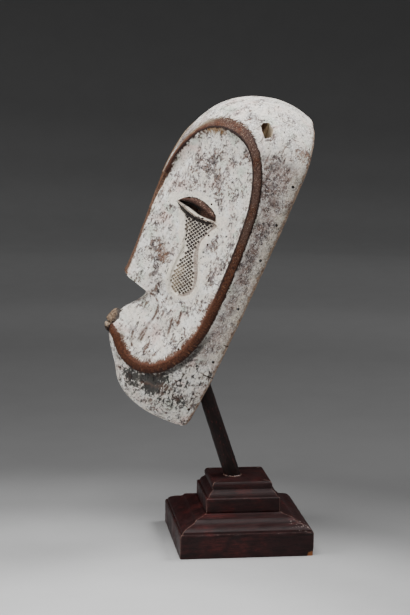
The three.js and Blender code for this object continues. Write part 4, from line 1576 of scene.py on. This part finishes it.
def ridgePaint(n, own, paint):
    # the brown band, its dark edges, the tan slope at the jaw and the ochre at the brow
    c = maskColours
    across, run = n.attribute("ridgeAcross"), n.attribute("ridgeRun")

    def stretch(key):
        return n.between(run, *ridgeStretches[key])

    waver = n.product(n.sum(n.noise(own, 0.3, 4.0, 0.65), -0.5), 3.0)
    side = n.sum(across, waver)
    brow, jaw = stretch("brow"), stretch("jaw")
    leaning = n.joined(n.sum(run, n.product(across, 0.8)), across, 0.0)
    hatch = n.noise(n.vector("DIVIDE", leaning, (1.5, 5.0, 1.0)), 1.0, 3.0, 0.6)
    ragged = n.product(n.sum(hatch, -0.5), n.sum(2.4, n.product(brow, 14.0)))
    raggedSide = n.sum(side, ragged)
    outerEdge = n.sum(-4.4, n.product(brow, -3.6))
    outside = n.step(raggedSide, n.sum(outerEdge, -0.5), n.sum(outerEdge, 0.5))
    band = n.product(outside, n.step(side, 4.6, 5.4, 1.0, 0.0))

    # the brown body with its dust, scratches and specks
    grainy = n.noise(own, 0.75, 4.0, 0.75)
    body = n.mix(n.step(grainy, 0.36, 0.62), c["ridgeDark"], c["ridge"])
    dusty = n.product(n.step(n.noise(own, 0.09, 2.0), 0.34, 0.56), stretch("dusty"))
    body = n.mix(n.product(dusty, n.step(grainy, 0.36, 0.58, 0.2, 0.95)), body, c["ridgePurple"])
    body = n.mix(n.product(stretch("temple"), n.step(grainy, 0.4, 0.6, 0.55, 0.25)), body, c["ridgeDark"])
    lengthways = n.joined(across, n.product(across, 0.7), run)
    rubbedOff = n.group(flecks, Place=lengthways, Width=1.6, Length=5.0, Share=0.0)["Mask"]
    body = n.mix(n.product(rubbedOff, 0.45), body, c["cream"])
    place = n.joined(run, across, 0.0)
    scratch = n.noise(n.vector("DIVIDE", place, (1.1, 4.0, 1.0)), 1.0, 2.0, 0.6)
    scratches = n.step(scratch, 0.64, 0.7)
    body = n.mix(n.product(scratches, 0.55), body, c["tan"])
    specks = n.step(n.noise(own, 1.0, 3.0, 0.7), 0.57, 0.66)
    body = n.mix(n.product(specks, stretch("speckled"), 0.55), body, c["lowerLid"])
    whiteHatch = n.product(brow, n.step(hatch, 0.55, 0.62), n.step(across, -6.0, -2.0, 1.0, 0.0))
    body = n.mix(n.product(whiteHatch, 0.8), body, c["cream"])
    lengthwise = n.noise(n.vector("DIVIDE", place, (14.0, 1.3, 1.0)), 1.0, 2.0, 0.6)
    start = n.step(run, 48.0, 78.0, 1.0, 0.0)
    body = n.mix(start, body, fadedStart(n, side, lengthwise, run))

    # painted shade on its rounded edges, and painted shadow in the dark lines along them
    roundedEdgeShade = n.step(n.maths("ABSOLUTE", side), 1.2, 4.2, 0.0, 0.75)
    body = n.mix(n.product(roundedEdgeShade, n.step(grainy, 0.34, 0.66, 1.0, 0.5)), body, c["ridgeDark"])
    # painted shadow of the step wall inside the ridge and below the proud band outside it
    innerRun = n.product(n.step(run, 262.0, 300.0, 1.0, 0.12), n.step(run, 8.0, 24.0))
    innerLine = n.product(n.between(side, 3.1, 4.9, 0.35), innerRun)
    outerLine = n.product(n.between(side, -5.2, -3.4, 0.5), stretch("outerLine"))
    body = n.mix(n.product(n.maths("MAXIMUM", innerLine, outerLine), 0.85), body, c["creaseShadow"])

    # the slope at the jaw, the ochre at the brow and the shadow beside the chin
    torn = n.sum(side, n.product(n.sum(scratch, -0.5), 14.0))
    slopeTone = jawSlope(n, torn, grainy, scratches)
    body = n.mix(jaw, body, slopeTone)
    slope = n.product(jaw, n.step(side, 4.2, 5.0), n.step(torn, 5.5, 9.0, 0.95, 0.0))
    paint = n.mix(slope, paint, slopeTone)
    ochre = n.product(stretch("ochre"), n.step(raggedSide, 6.0, 9.0, 0.85, 0.0))
    paint = n.mix(n.product(ochre, n.step(side, 3.4, 4.4)), paint, c["ochre"])
    shadow = n.product(stretch("shadow"), n.between(raggedSide, -9.0, -4.0, 1.2))
    paint = n.mix(n.product(shadow, 0.8), paint, c["sootAndShadow"])
    paint = n.mix(band, paint, body)

    # the edge of the nose
    nose = n.sum(n.attribute("noseEdge"), n.product(n.noise(own, 0.5, 3.0), 1.6))
    nosePaint = n.mix(n.step(grainy, 0.4, 0.6), c["ridgeDark"], c["brownWood"])
    paint = n.mix(n.step(nose, 1.4, 2.6, 0.6, 0.0), paint, c["stump"])
    paint = n.mix(n.step(nose, 0.95, 1.5, 0.92, 0.0), paint, nosePaint)
    relief = n.product(band, n.sum(n.product(grainy, 1.2), n.product(scratch, 0.8)))
    return paint, relief, band


def eyePaint(n, own, paint):
    # the grey panel, the brown lid, the dark slit and the hatched band under it
    c = maskColours
    streak = n.noise(n.mapped(own, (0.8, 0.5, 1.4), (0.7, 0, 0)), 0.8, 4.0, 0.7)
    waver = n.product(n.sum(n.noise(own, 0.9, 3.0), -0.5), 0.9)
    _, back, upwards = n.split(own)
    shade = n.step(n.sum(n.attribute("panelShade"), waver), -0.7, 0.5, 0.0, 0.8)
    paint = n.mix(n.product(shade, n.step(streak, 0.3, 0.6, 0.5, 1.0)), paint, c["lid"])
    netted = n.step(n.attribute("netDepth"), -1.0, 0.5)
    upper = n.step(upwards, 118.0, 160.0)
    paint = n.mix(n.product(netted, upper, 0.22), paint, c["markGrey"])

    lidDepth = n.sum(n.attribute("lidDepth"), waver)
    lidEdge = n.step(lidDepth, 0.4, 1.2, 1.0, 0.0)
    lidTone = n.mix(n.step(streak, 0.4, 0.62), c["lidDark"], c["lid"])
    # pale streaks on the lid: painted highlights
    lidTone = n.mix(n.product(n.step(streak, 0.56, 0.66), 0.6), lidTone, c["lowerLid"])
    lidTone = n.mix(n.product(lidEdge, 0.75), lidTone, c["slit"])
    slitDepth = n.attribute("slitDepth")
    # painted shade on the lid towards the slit
    slitShade = n.step(n.sum(slitDepth, n.product(n.sum(streak, -0.5), 6.0)), -2.2, -0.8)
    lidTone = n.mix(n.product(slitShade, 0.85), lidTone, c["lidDark"])
    paint = n.mix(n.step(lidDepth, -0.25, 0.25), paint, lidTone)

    hatchPlace = n.mapped(own, turn=(math.radians(-16), 0, 0))
    hatch = n.noise(n.mapped(hatchPlace, (0.5, 1.1, 0.12)), 1.0, 2.0)
    ragged = n.product(n.sum(hatch, -0.5), 6.0)
    bandDepth = n.attribute("bandDepth")
    band = n.maths("MAXIMUM", n.step(bandDepth, 0.0, 0.5), n.step(n.sum(bandDepth, ragged), -0.2, 0.3))
    bandTone = n.mix(n.step(streak, 0.45, 0.7), c["slit"], c["lidDark"])
    paint = n.mix(n.product(band, 0.95), paint, bandTone)

    # near black in the slit's recess round the hole: painted shade of the hollow behind it, browner towards
    # the outer end
    outerPart = n.step(n.sum(back, n.product(streak, 6.0)), -64.0, -58.0)
    slitTone = n.mix(n.step(streak, 0.52, 0.66), c["slit"], c["lidDark"])
    slitTone = n.mix(outerPart, slitTone, n.mix(n.step(streak, 0.42, 0.6), c["lidDark"], c["lid"]))
    paint = n.mix(n.step(slitDepth, -0.2, 0.2), paint, slitTone)
    lower = n.step(n.sum(n.attribute("lowerDepth"), waver), 0.35, 0.75)
    lowerTone = n.mix(n.step(streak, 0.4, 0.62), c["lid"], c["lowerLid"])
    return n.mix(n.product(lower, 0.9), paint, lowerTone)


def mouthPaint(n, own, paint):
    # worn lips, the upper darker than the lower, with painted shadow in a line between them, below them and
    # round them
    c = maskColours
    streak = n.noise(own, 0.6, 5.0, 0.75)
    uneven = n.product(n.sum(streak, -0.5), 2.4)
    depth, lips = n.sum(n.attribute("mouthDepth"), uneven), n.attribute("lipSide")
    raggedLips = n.sum(lips, uneven)
    upper = n.mix(n.step(streak, 0.34, 0.6), c["lidDark"], c["stump"])
    upper = n.mix(n.step(streak, 0.56, 0.7, 0.0, 0.6), upper, c["lowerLid"])
    lower = n.mix(n.step(streak, 0.36, 0.6), c["stump"], c["lowerLid"])
    skin = n.mix(n.step(raggedLips, -3.4, -2.0), lower, upper)
    line = n.between(n.sum(lips, n.product(uneven, 0.4)), -3.2, -2.0, 0.5)
    skin = n.mix(n.product(line, 0.45), skin, c["creaseShadow"])
    under = n.step(raggedLips, -7.6, -5.8, 1.0, 0.0)
    skin = n.mix(n.product(under, 0.9), skin, c["creaseShadow"])
    paint = n.mix(n.product(n.step(depth, -0.6, 0.2), 0.92), paint, c["creaseShadow"])
    return n.mix(n.step(depth, 1.1, 2.0), paint, skin)


def paintedMaterial():
    material, n = newMaterial("kaolinAndEarthPaint")
    c = maskColours
    own = maskPlace(n)
    paint, height = kaolinPaint(n, own)
    paint, bare = brownPatches(n, own, paint)

    # darker along the creases of the muzzle
    creaseGap = n.sum(n.attribute("creaseGap"), n.product(n.noise(own, 0.6, 3.0, 0.7), 2.6))
    uneven = n.step(n.noise(own, 0.15, 3.0), 0.36, 0.48, 0.45, 1.0)
    creaseDarkening = n.product(n.step(creaseGap, 1.5, 3.0, 0.95, 0.0), uneven)
    paint = n.mix(creaseDarkening, paint, n.mix(0.35, c["markBrown"], c["markDark"]))

    # creamy ground round the net and between its pits
    netDepth = n.attribute("netDepth")
    cleanest = n.step(n.attribute("soiled"), 0.0, 0.4, 0.6, 0.25)
    paint = n.mix(n.product(n.between(netDepth, -5.0, -0.3, 1.0), cleanest), paint, c["cream"])
    clouds = n.step(n.noise(own, 0.15, 2.0), 0.4, 0.65, 0.1, 0.55)
    paint = n.mix(n.product(n.step(netDepth, -0.4, 1.0), clouds), paint, c["cream"])
    paint, ridgeHeight, band = ridgePaint(n, own, paint)
    paint = mouthPaint(n, own, eyePaint(n, own, paint))
    total = n.sum(height, n.product(bare, -0.6), ridgeHeight)
    finishMaterial(n, paint, n.mixNumber(band, 0.86, 0.62), gloss=0.3, height=total, bump=0.35)
    return material


def hollowMaterial():
    # gouged brown wood, dusty along the rim and chalky in places
    material, n = newMaterial("gougedWood")
    c = maskColours
    own = maskPlace(n)
    streak = n.group(grain, Place=own, Ring=5.0, Length=70.0)
    wood = n.mix(n.step(streak["Mask"], 0.35, 0.65), c["hollowDark"], c["hollowWood"])
    cuts = n.cells(n.mapped(own, (0.14, 0.14, 0.05)), 1.0)
    wood = n.mix(n.step(cuts, 0.3, 0.8, 0.0, 0.35), wood, c["hollowDark"])
    _, back, _ = n.split(own)
    dust = n.sum(n.product(back, -1.0), n.product(n.noise(own, 0.2, 4.0), 14.0))
    dustTone = n.mix(n.step(n.noise(own, 0.5, 4.0), 0.4, 0.6), c["markBrown"], c["stump"])
    wood = n.mix(n.step(dust, 7.0, 13.0, 0.9, 0.0), wood, dustTone)
    chalk = n.noise(n.mapped(own, shift=(3, 3, 8)), 0.16, 5.0, 0.7)
    chalk = n.step(n.sum(n.product(chalk, 20.0), back), 9.5, 11.5, 0.0, 0.8)
    wood = n.mix(chalk, wood, c["kaolin"])
    height = n.sum(n.product(streak["Height"], 0.5), n.product(cuts, 1.4))
    finishMaterial(n, wood, roughness=0.78, height=height, bump=0.5)
    return material


def pitFloorMaterial():
    # the floors of the net's pits: dark, and chalky towards the muzzle
    material, n = newMaterial("pitFloor")
    c = maskColours
    own = maskPlace(n)
    _, back, along = n.split(own)
    chalky = n.step(n.sum(n.product(along, -0.012), n.product(n.noise(own, 0.12, 3.0), 1.6)), -1.1, -0.3)
    chalky = n.product(chalky, n.step(back, -62.0, -54.0, 1.0, 0.3))
    dark = n.mix(n.noise(own, 0.8, 2.0), c["markDark"], c["markGrey"])
    floor = n.mix(chalky, dark, n.mix(0.45, c["cream"], c["markBrown"]))
    finishMaterial(n, floor, roughness=0.9, height=n.noise(own, 1.2, 3.0), bump=0.3)
    return material


def holeWallMaterial():
    # dark wood, dusted with kaolin on the rear side of the cord holes
    material, n = newMaterial("holeWalls")
    c = maskColours
    own = maskPlace(n)
    _, back, along = n.split(own)
    streak = n.group(grain, Place=own, Ring=2.5, Length=12.0)
    wood = n.mix(streak["Mask"], c["lidDark"], c["brownWood"])
    dusty = n.step(n.sum(back, n.product(n.noise(own, 0.4, 3.0), 3.0)), -43.6, -41.6)
    dusty = n.product(dusty, n.step(along, 243.0, 246.0))
    wood = n.mix(n.product(dusty, 0.75), wood, c["cream"])
    finishMaterial(n, wood, roughness=0.9, height=streak["Height"], bump=0.4)
    return material


def carriedOver(tree, values, points):
    # values of the three nearest old points, weighed by nearness
    found = [tree.find_n(p, 3) for p in points]
    index = np.array([[f[1] for f in three] for three in found])
    weight = 1 / (np.array([[f[2] for f in three] for three in found]) + 1e-7)
    weight /= weight.sum(1, keepdims=True)
    return {key: np.sum(value[index] * weight, axis=1) for key, value in values.items()}


def mouthGuides(points):
    # how far inside the mouth's outline a point is, and how far above its middle
    m = mouth
    own = toOwnFrame(points)
    away = (own - np.array(m["centre"])) / np.array(m["half"])
    reach = np.sum(np.abs(away) ** m["power"], axis=1) ** (1 / m["power"])
    depth = (m["painted"] - np.hypot(away[:, 0], away[:, 1])) * m["meanHalf"]
    return {
        "mouthDepth": np.where(reach < m["paintReach"], depth, guideSetup["hidden"]),
        "lipSide": own[:, 1] - m["centre"][1],
    }


painted, gouged = paintedMaterial(), hollowMaterial()
for material in (painted, gouged):
    maskMesh.materials.append(material)
mouthMesh, holeMesh = mouthStub(), holeCuts()
mouthMesh.materials.append(painted)
holeMesh.materials.append(holeWallMaterial())
shellTree = treeOf(shellPoints)
combine(carvedMask, newObject("mouthStub", mouthMesh), "UNION")
pits = netPits(carvedMask, pitFloorMaterial())
print("net pits:", len(pits.data.polygons), "triangles,", openEdges(pits.data), "open edges")
combine(carvedMask, pits, "DIFFERENCE")
combine(carvedMask, newObject("holeCuts", holeMesh), "DIFFERENCE")
finalPoints, _ = meshArrays(carvedMask.data)
addGuides(carvedMask.data, {**carriedOver(shellTree, guides, finalPoints), **mouthGuides(finalPoints)})
carvedMask.data.set_sharp_from_angle(angle=math.radians(38))
print("mask:", len(carvedMask.data.polygons), "faces,", openEdges(carvedMask.data), "open edges")


# The stand: moulded blocks, each a profile carried round a square, and the leaning rod

stand = {
    "lower": {
        "foot": 0.0,
        "profile": [(0, 0), (58.4, 0), (59, 0.6), (59, 10), (59, 20.2), (58.3, 21.5), (57.2, 21.7),
                    (56.6, 23.4), (54.6, 25), (52, 26.2), (49, 26.9), (46.2, 27.9), (44.4, 29.2),
                    (43.3, 30.6), (41.2, 31.1), (35.6, 32.3), (34.2, 33.2), (0, 33.2)],
    },
    "upper": {
        "foot": 33.5,
        "profile": [(0, 0), (32.8, 0), (33.1, 0.4), (33, 12.1), (32.3, 12.9), (31.1, 13), (30.7, 14),
                    (30, 15.6), (28.6, 17.2), (27.1, 18.3), (26.4, 19.2), (26.5, 20), (27, 21.4),
                    (26.9, 23.2), (26.1, 24.9), (25.3, 25.7), (0, 25.7)],
    },
    "Corner": 1.3,
    "Steps Around": 161,
    "squareness": 2.37,
    "crowding": 0.97,
    "dent": 0.22,
    "dentLength": 9.0,
    "fine": 0.05,
    "fineLength": 2.1,
    # edges wear where the profile bends outwards by more than this
    "leastBend": 0.12,
    "unwornDent": 0.4,
    "dentLevel": 0.1,
    "edgeReach": 1.1,
    "cornerReach": 1.3,
    "outerPart": 20,
    "chip": {"place": (59, 56.5, 1), "reach": 4.5, "depth": 1.0},
    "scuff": {"place": (50, 48, 26), "flattened": 1.6, "reach": (5.0, 13.0)},
    # nothing moves nearer to the axis, or lower, than this
    "still": (15, 0.05),
}
rod = {
    "foot": (0, -5.2, 59.5),
    "lean": math.radians(18.4),
    "footDiameter": 14.6,
    "topDiameter": 11.2,
    "length": 193.7,
    "sides": 56,
    "rings": 130,
    "rough": 0.16,
    "fineLength": 3.1,
    "slowLength": 8.0,
    "slowShare": 0.6,
    "sunk": 0.55,
    "glue": {
        "reach": 1.6,
        "height": 1.3,
        "swell": (0.75, 0.55),
        "lumps": 2.3,
        "inside": 0.5,
        "sunk": 0.35,
        "roundness": 1.6,
        "around": 72,
        "across": 9,
    },
}


def mouldingTree(material, count):
    # the profile's points, carried round a square with rounded corners
    inputs = [("Geometry", "Geometry", None), ("Foot", "Float", 0.0), ("Corner", "Float", stand["Corner"])]
    inputs.append(("Steps Around", "Int", stand["Steps Around"]))
    tree, n, entry, leave = newGroup("mouldedBlock", "GeometryNodeTree", inputs, [("Geometry", "Geometry")])
    sizes = {"Size X": 1.0, "Size Y": 1.0, "Vertices X": entry["Steps Around"], "Vertices Y": count}
    grid = n.fed("GeometryNodeMeshGrid", sizes)["Mesh"]
    position = n.add("GeometryNodeInputPosition").outputs[0]
    x, y, _ = n.split(position)
    row = n.maths("ROUND", n.product(n.sum(y, 0.5), count - 1.0))
    sample = {"Geometry": entry["Geometry"], "Value": position, "Index": row}
    half, _, height = n.split(n.fed("GeometryNodeSampleIndex", sample, data_type="FLOAT_VECTOR")["Value"])
    quarter = n.product(n.sum(x, 0.5), 4.0)
    crowding = -stand["crowding"] / (2 * math.pi)
    eased = n.product(n.maths("SINE", n.product(quarter, 2 * math.pi)), crowding)
    angle = n.product(n.sum(quarter, eased, 0.5), math.pi / 2)
    squareness = n.maths("DIVIDE", n.maths("MAXIMUM", half, 2.0), entry["Corner"])
    power = n.product(squareness, stand["squareness"])
    cosine, sine = n.maths("COSINE", angle), n.maths("SINE", angle)
    powers = [n.maths("POWER", n.maths("ABSOLUTE", part), power) for part in (cosine, sine)]
    size = n.maths("DIVIDE", half, n.maths("POWER", n.sum(*powers), n.maths("DIVIDE", 1.0, power)))
    place = n.joined(n.product(size, cosine), n.product(size, sine), n.sum(height, entry["Foot"]))
    moved = {"Geometry": grid, "Position": n.scaled(place, mm)}
    shaped = n.fed("GeometryNodeSetPosition", moved)["Geometry"]
    welded = n.fed("GeometryNodeMergeByDistance", {"Geometry": shaped, "Distance": 1e-6})["Geometry"]
    finishTree(n, leave, welded, material)
    return tree


def denserProfile(profile, most=1.4):
    # more points along the outer part of a profile, so that its wear has room
    out = [profile[0]]
    for (a, b), (c, d) in zip(profile, profile[1:]):
        length = math.hypot(c - a, d - b)
        steps = max(1, round(length / most)) if min(a, c) > stand["outerPart"] else 6
        out += [(a + (c - a) * k / steps, b + (d - b) * k / steps) for k in range(1, steps + 1)]
    return out


def wearOf(points, half, low, part):
    # 1 on outer edges and on the four corners, fading over a millimetre or so
    edges = [np.array(e) for e in part["profile"]]
    worn = np.zeros(len(points))
    for before, here, after in zip(edges, edges[1:], edges[2:]):
        a, b = here - before, after - here
        bend = (a[0] * b[1] - a[1] * b[0]) / (np.linalg.norm(a) * np.linalg.norm(b))
        if bend > stand["leastBend"]:
            gap = np.hypot(half - here[0], low - here[1])
            worn = np.maximum(worn, min(1, bend) * np.exp(-((gap / stand["edgeReach"]) ** 2)))
    fromCorner = half - np.abs(points[:, :2]).min(1) / mm
    onCorner = np.exp(-((fromCorner / stand["cornerReach"]) ** 2)) * (half > stand["outerPart"])
    return np.maximum(worn, onCorner)


def mouldedBlock(name, part, material):
    profile = denserProfile(part["profile"])
    line = bpy.data.meshes.new(name)
    joints = [(i, i + 1) for i in range(len(profile) - 1)]
    line.from_pydata([(half, 0, z) for half, z in profile], joints, [])
    piece = newObject(name, line)
    values = {"Foot": part["foot"], "Corner": stand["Corner"], "Steps Around": stand["Steps Around"]}
    growFrom(piece, mouldingTree(material, len(profile)), values)
    mend(piece.data, thin=1e-6, triangles=False)
    points, normals = meshArrays(piece.data)
    s, chip = stand, stand["chip"]
    fromChip = np.linalg.norm(points / mm - np.array(chip["place"]), axis=1)
    chipped = np.exp(-((fromChip / chip["reach"]) ** 2))
    half = np.abs(points[:, :2]).max(1) / mm
    low = points[:, 2] / mm - part["foot"]
    worn = wearOf(points, half, low, part)
    moved = np.zeros(len(points))
    for i, p in enumerate(points):
        v = Vector(p) / mm
        soft = max(0, noise.noise(v / s["dentLength"]) + s["dentLevel"])
        dent = s["dent"] * (s["unwornDent"] + worn[i]) * soft
        moved[i] = -dent - s["fine"] * abs(noise.noise(v / s["fineLength"]))
    moved -= chip["depth"] * chipped
    moved *= (half > s["still"][0]) * (low > s["still"][1])
    setPoints(piece.data, points + normals * (moved * mm)[:, None])
    addGuides(piece.data, {"worn": worn, "chipped": chipped})
    piece.data.shade_smooth()
    piece.data.set_sharp_from_angle(angle=math.radians(28))
    print(name, len(piece.data.polygons), "faces,", openEdges(piece.data), "open edges")
    return piece


standColours = {
    "stain": tone(45, 20, 20),
    "stainDark": tone(24, 11, 11),
    "red": tone(84, 31, 29),
    "rubbed": tone(126, 96, 86),
    "bareWood": tone(148, 92, 54),
    "scuff": tone(196, 180, 172),
    "rodDark": tone(13, 7, 6),
    "rodRed": tone(46, 22, 17),
    "glue": tone(118, 88, 76),
}


def stainedMaterial():
    # reddish black stain, rubbed at the edges, with one scuffed corner and one chip
    material, n = newMaterial("stainedWood")
    c = standColours
    place = objectPlace(n)
    x, y, z = n.split(place)
    slanting = n.joined(z, n.sum(x, n.product(y, 0.13)), n.sum(y, n.product(x, -0.13)))
    streak = n.group(grain, Place=slanting, Ring=2.6, Length=34.0)
    wood = n.mix(n.step(streak["Mask"], 0.34, 0.62), c["stainDark"], c["stain"])
    warm = n.step(n.noise(place, 0.05, 3.0), 0.48, 0.66)
    wood = n.mix(n.product(warm, n.step(streak["Mask"], 0.45, 0.6, 0.15, 0.6)), wood, c["red"])
    torn = n.noise(place, 0.35, 4.0, 0.7)
    worn = n.attribute("worn")
    rubbed = n.step(n.sum(n.product(worn, 0.75), torn), 1.02, 1.3)
    wood = n.mix(n.product(rubbed, 0.5), wood, c["rubbed"])
    share = n.sum(n.product(worn, 0.55), -0.35)
    nicks = n.group(flecks, Place=n.joined(z, x, y), Width=0.6, Length=2.2, Share=share)["Mask"]
    wood = n.mix(n.product(nicks, 0.6), wood, c["scuff"])
    scuff = stand["scuff"]
    fromScuff = [n.sum(part, -float(middle)) for part, middle in zip((x, y, z), scuff["place"])]
    fromScuff[2] = n.product(fromScuff[2], scuff["flattened"])
    near = n.step(n.length(n.joined(*fromScuff)), *scuff["reach"], 1.0, 0.0)
    scratched = n.product(near, n.step(n.noise(place, 0.6, 3.0, 0.6), 0.59, 0.65))
    wood = n.mix(n.product(scratched, 0.75), wood, c["scuff"])
    chip = n.step(n.sum(n.attribute("chipped"), n.product(torn, 0.7)), 0.85, 1.05)
    wood = n.mix(n.product(chip, 0.9), wood, c["bareWood"])
    smears = n.step(n.noise(place, 0.09, 4.0, 0.65), 0.3, 0.7, 0.4, 0.6)
    roughness = n.sum(smears, n.product(rubbed, 0.12))
    height = n.sum(streak["Height"], n.product(torn, 0.5), n.product(nicks, -0.8))
    finishMaterial(n, wood, roughness, gloss=0.24, height=height, bump=0.16)
    return material


def rodMaterial():
    # nearly black wood with reddish specks
    material, n = newMaterial("darkRodWood")
    c = standColours
    place = n.mapped(objectPlace(n), turn=(-rod["lean"], 0, 0))
    streak = n.group(grain, Place=place, Ring=2.2, Length=14.0)
    bark = n.noise(place, 0.9, 4.0, 0.75)
    wood = n.mix(n.step(streak["Mask"], 0.4, 0.66), c["rodDark"], c["rodRed"])
    specks = n.group(flecks, Place=place, Width=1.7, Length=3.2, Share=0.3)["Mask"]
    wood = n.mix(n.product(specks, 0.8), wood, c["red"])
    height = n.sum(bark, streak["Height"])
    finishMaterial(n, wood, roughness=0.55, gloss=0.3, height=height, bump=0.6)
    return material


def rodMesh(material):
    # a slightly uneven round bar, cut level at its foot
    r = rod
    axis = Vector((0, -math.sin(r["lean"]), math.cos(r["lean"])))
    foot = Vector(r["foot"])
    level = Vector((1, 0, 0))
    upright = axis.cross(level)
    points = []
    for i in range(r["rings"] + 1):
        along = r["length"] * i / r["rings"]
        radius = (r["footDiameter"] + (r["topDiameter"] - r["footDiameter"]) * along / r["length"]) / 2
        for j in range(r["sides"]):
            a = 2 * math.pi * j / r["sides"]
            out = level * math.cos(a) + upright * math.sin(a)
            p = foot + axis * along + out * radius
            uneven = noise.noise(p / r["fineLength"]) + r["slowShare"] * noise.noise(p / r["slowLength"])
            p += out * r["rough"] * (uneven - r["sunk"])
            if p.z < foot.z or i == 0:
                p -= axis * ((p.z - foot.z) / axis.z)
            points.append(tuple(p * mm))
    count = r["sides"]
    faces = ringFaces(r["rings"], count)
    faces.append(tuple(range(count - 1, -1, -1)))
    faces.append(tuple(range(r["rings"] * count, (r["rings"] + 1) * count)))
    mesh = bpy.data.meshes.new("leaningRod")
    mesh.from_pydata(points, [], faces)
    mesh.materials.append(material)
    mesh.shade_smooth()
    mesh.set_sharp_from_angle(angle=math.radians(50))
    return mesh


def glueMaterial():
    material, n = newMaterial("oldGlue")
    lumps = n.noise(objectPlace(n), 0.6, 4.0, 0.7)
    colour = n.mix(n.step(lumps, 0.4, 0.62), standColours["stain"], standColours["glue"])
    finishMaterial(n, colour, roughness=0.35, height=lumps, bump=0.3)
    return material


def glueBead(material):
    # an uneven bead of glue round the foot of the rod
    r, g = rod, rod["glue"]
    inner = r["footDiameter"] / 2 - g["inside"]
    middleY, foot = r["foot"][1], r["foot"][2] - g["sunk"]
    points, faces = [], []
    for i in range(g["around"]):
        a = 2 * math.pi * i / g["around"]
        lump = noise.noise(Vector((math.cos(a) * g["lumps"], math.sin(a) * g["lumps"], 4.0)))
        swell = g["swell"][0] + g["swell"][1] * lump
        for j in range(g["across"]):
            gone = (1 - math.cos(math.pi * j / (g["across"] - 1))) / 2
            out = inner + 0.2 + g["reach"] * swell * gone
            up = g["height"] * swell * (1 - gone) ** g["roundness"]
            x, y = out * math.cos(a), out * math.sin(a) / math.cos(r["lean"])
            points.append((x, y + middleY - up * math.tan(r["lean"]), foot + up))
        points.append(((inner - 1) * math.cos(a), (inner - 1) * math.sin(a) + middleY, foot))
    ring = g["across"] + 1
    for i in range(g["around"]):
        k = (i + 1) % g["around"]
        for j in range(ring):
            m = (j + 1) % ring
            faces.append((i * ring + j, k * ring + j, k * ring + m, i * ring + m))
    mesh = closedMesh("glueBead", [(np.array(points) * mm, faces)])
    mesh.materials.append(material)
    mesh.shade_smooth()
    return mesh


stained = stainedMaterial()
lowerBlock = mouldedBlock("lowerBlock", stand["lower"], stained)
upperBlock = mouldedBlock("upperBlock", stand["upper"], stained)
leaningRod = newObject("leaningRod", rodMesh(rodMaterial()))
glue = newObject("glueBead", glueBead(glueMaterial()))
print("stand and rod are made")

pieces = (
    (carvedMask, "mask", "whitened_wood"),
    (lowerBlock, "lower_plinth", "stand_wood"),
    (upperBlock, "upper_plinth", "stand_wood"),
    (leaningRod, "rod", "rod_wood"),
)
for piece, node, slot in pieces:
    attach(piece, "root")
    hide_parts(node)
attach(glue, "root")
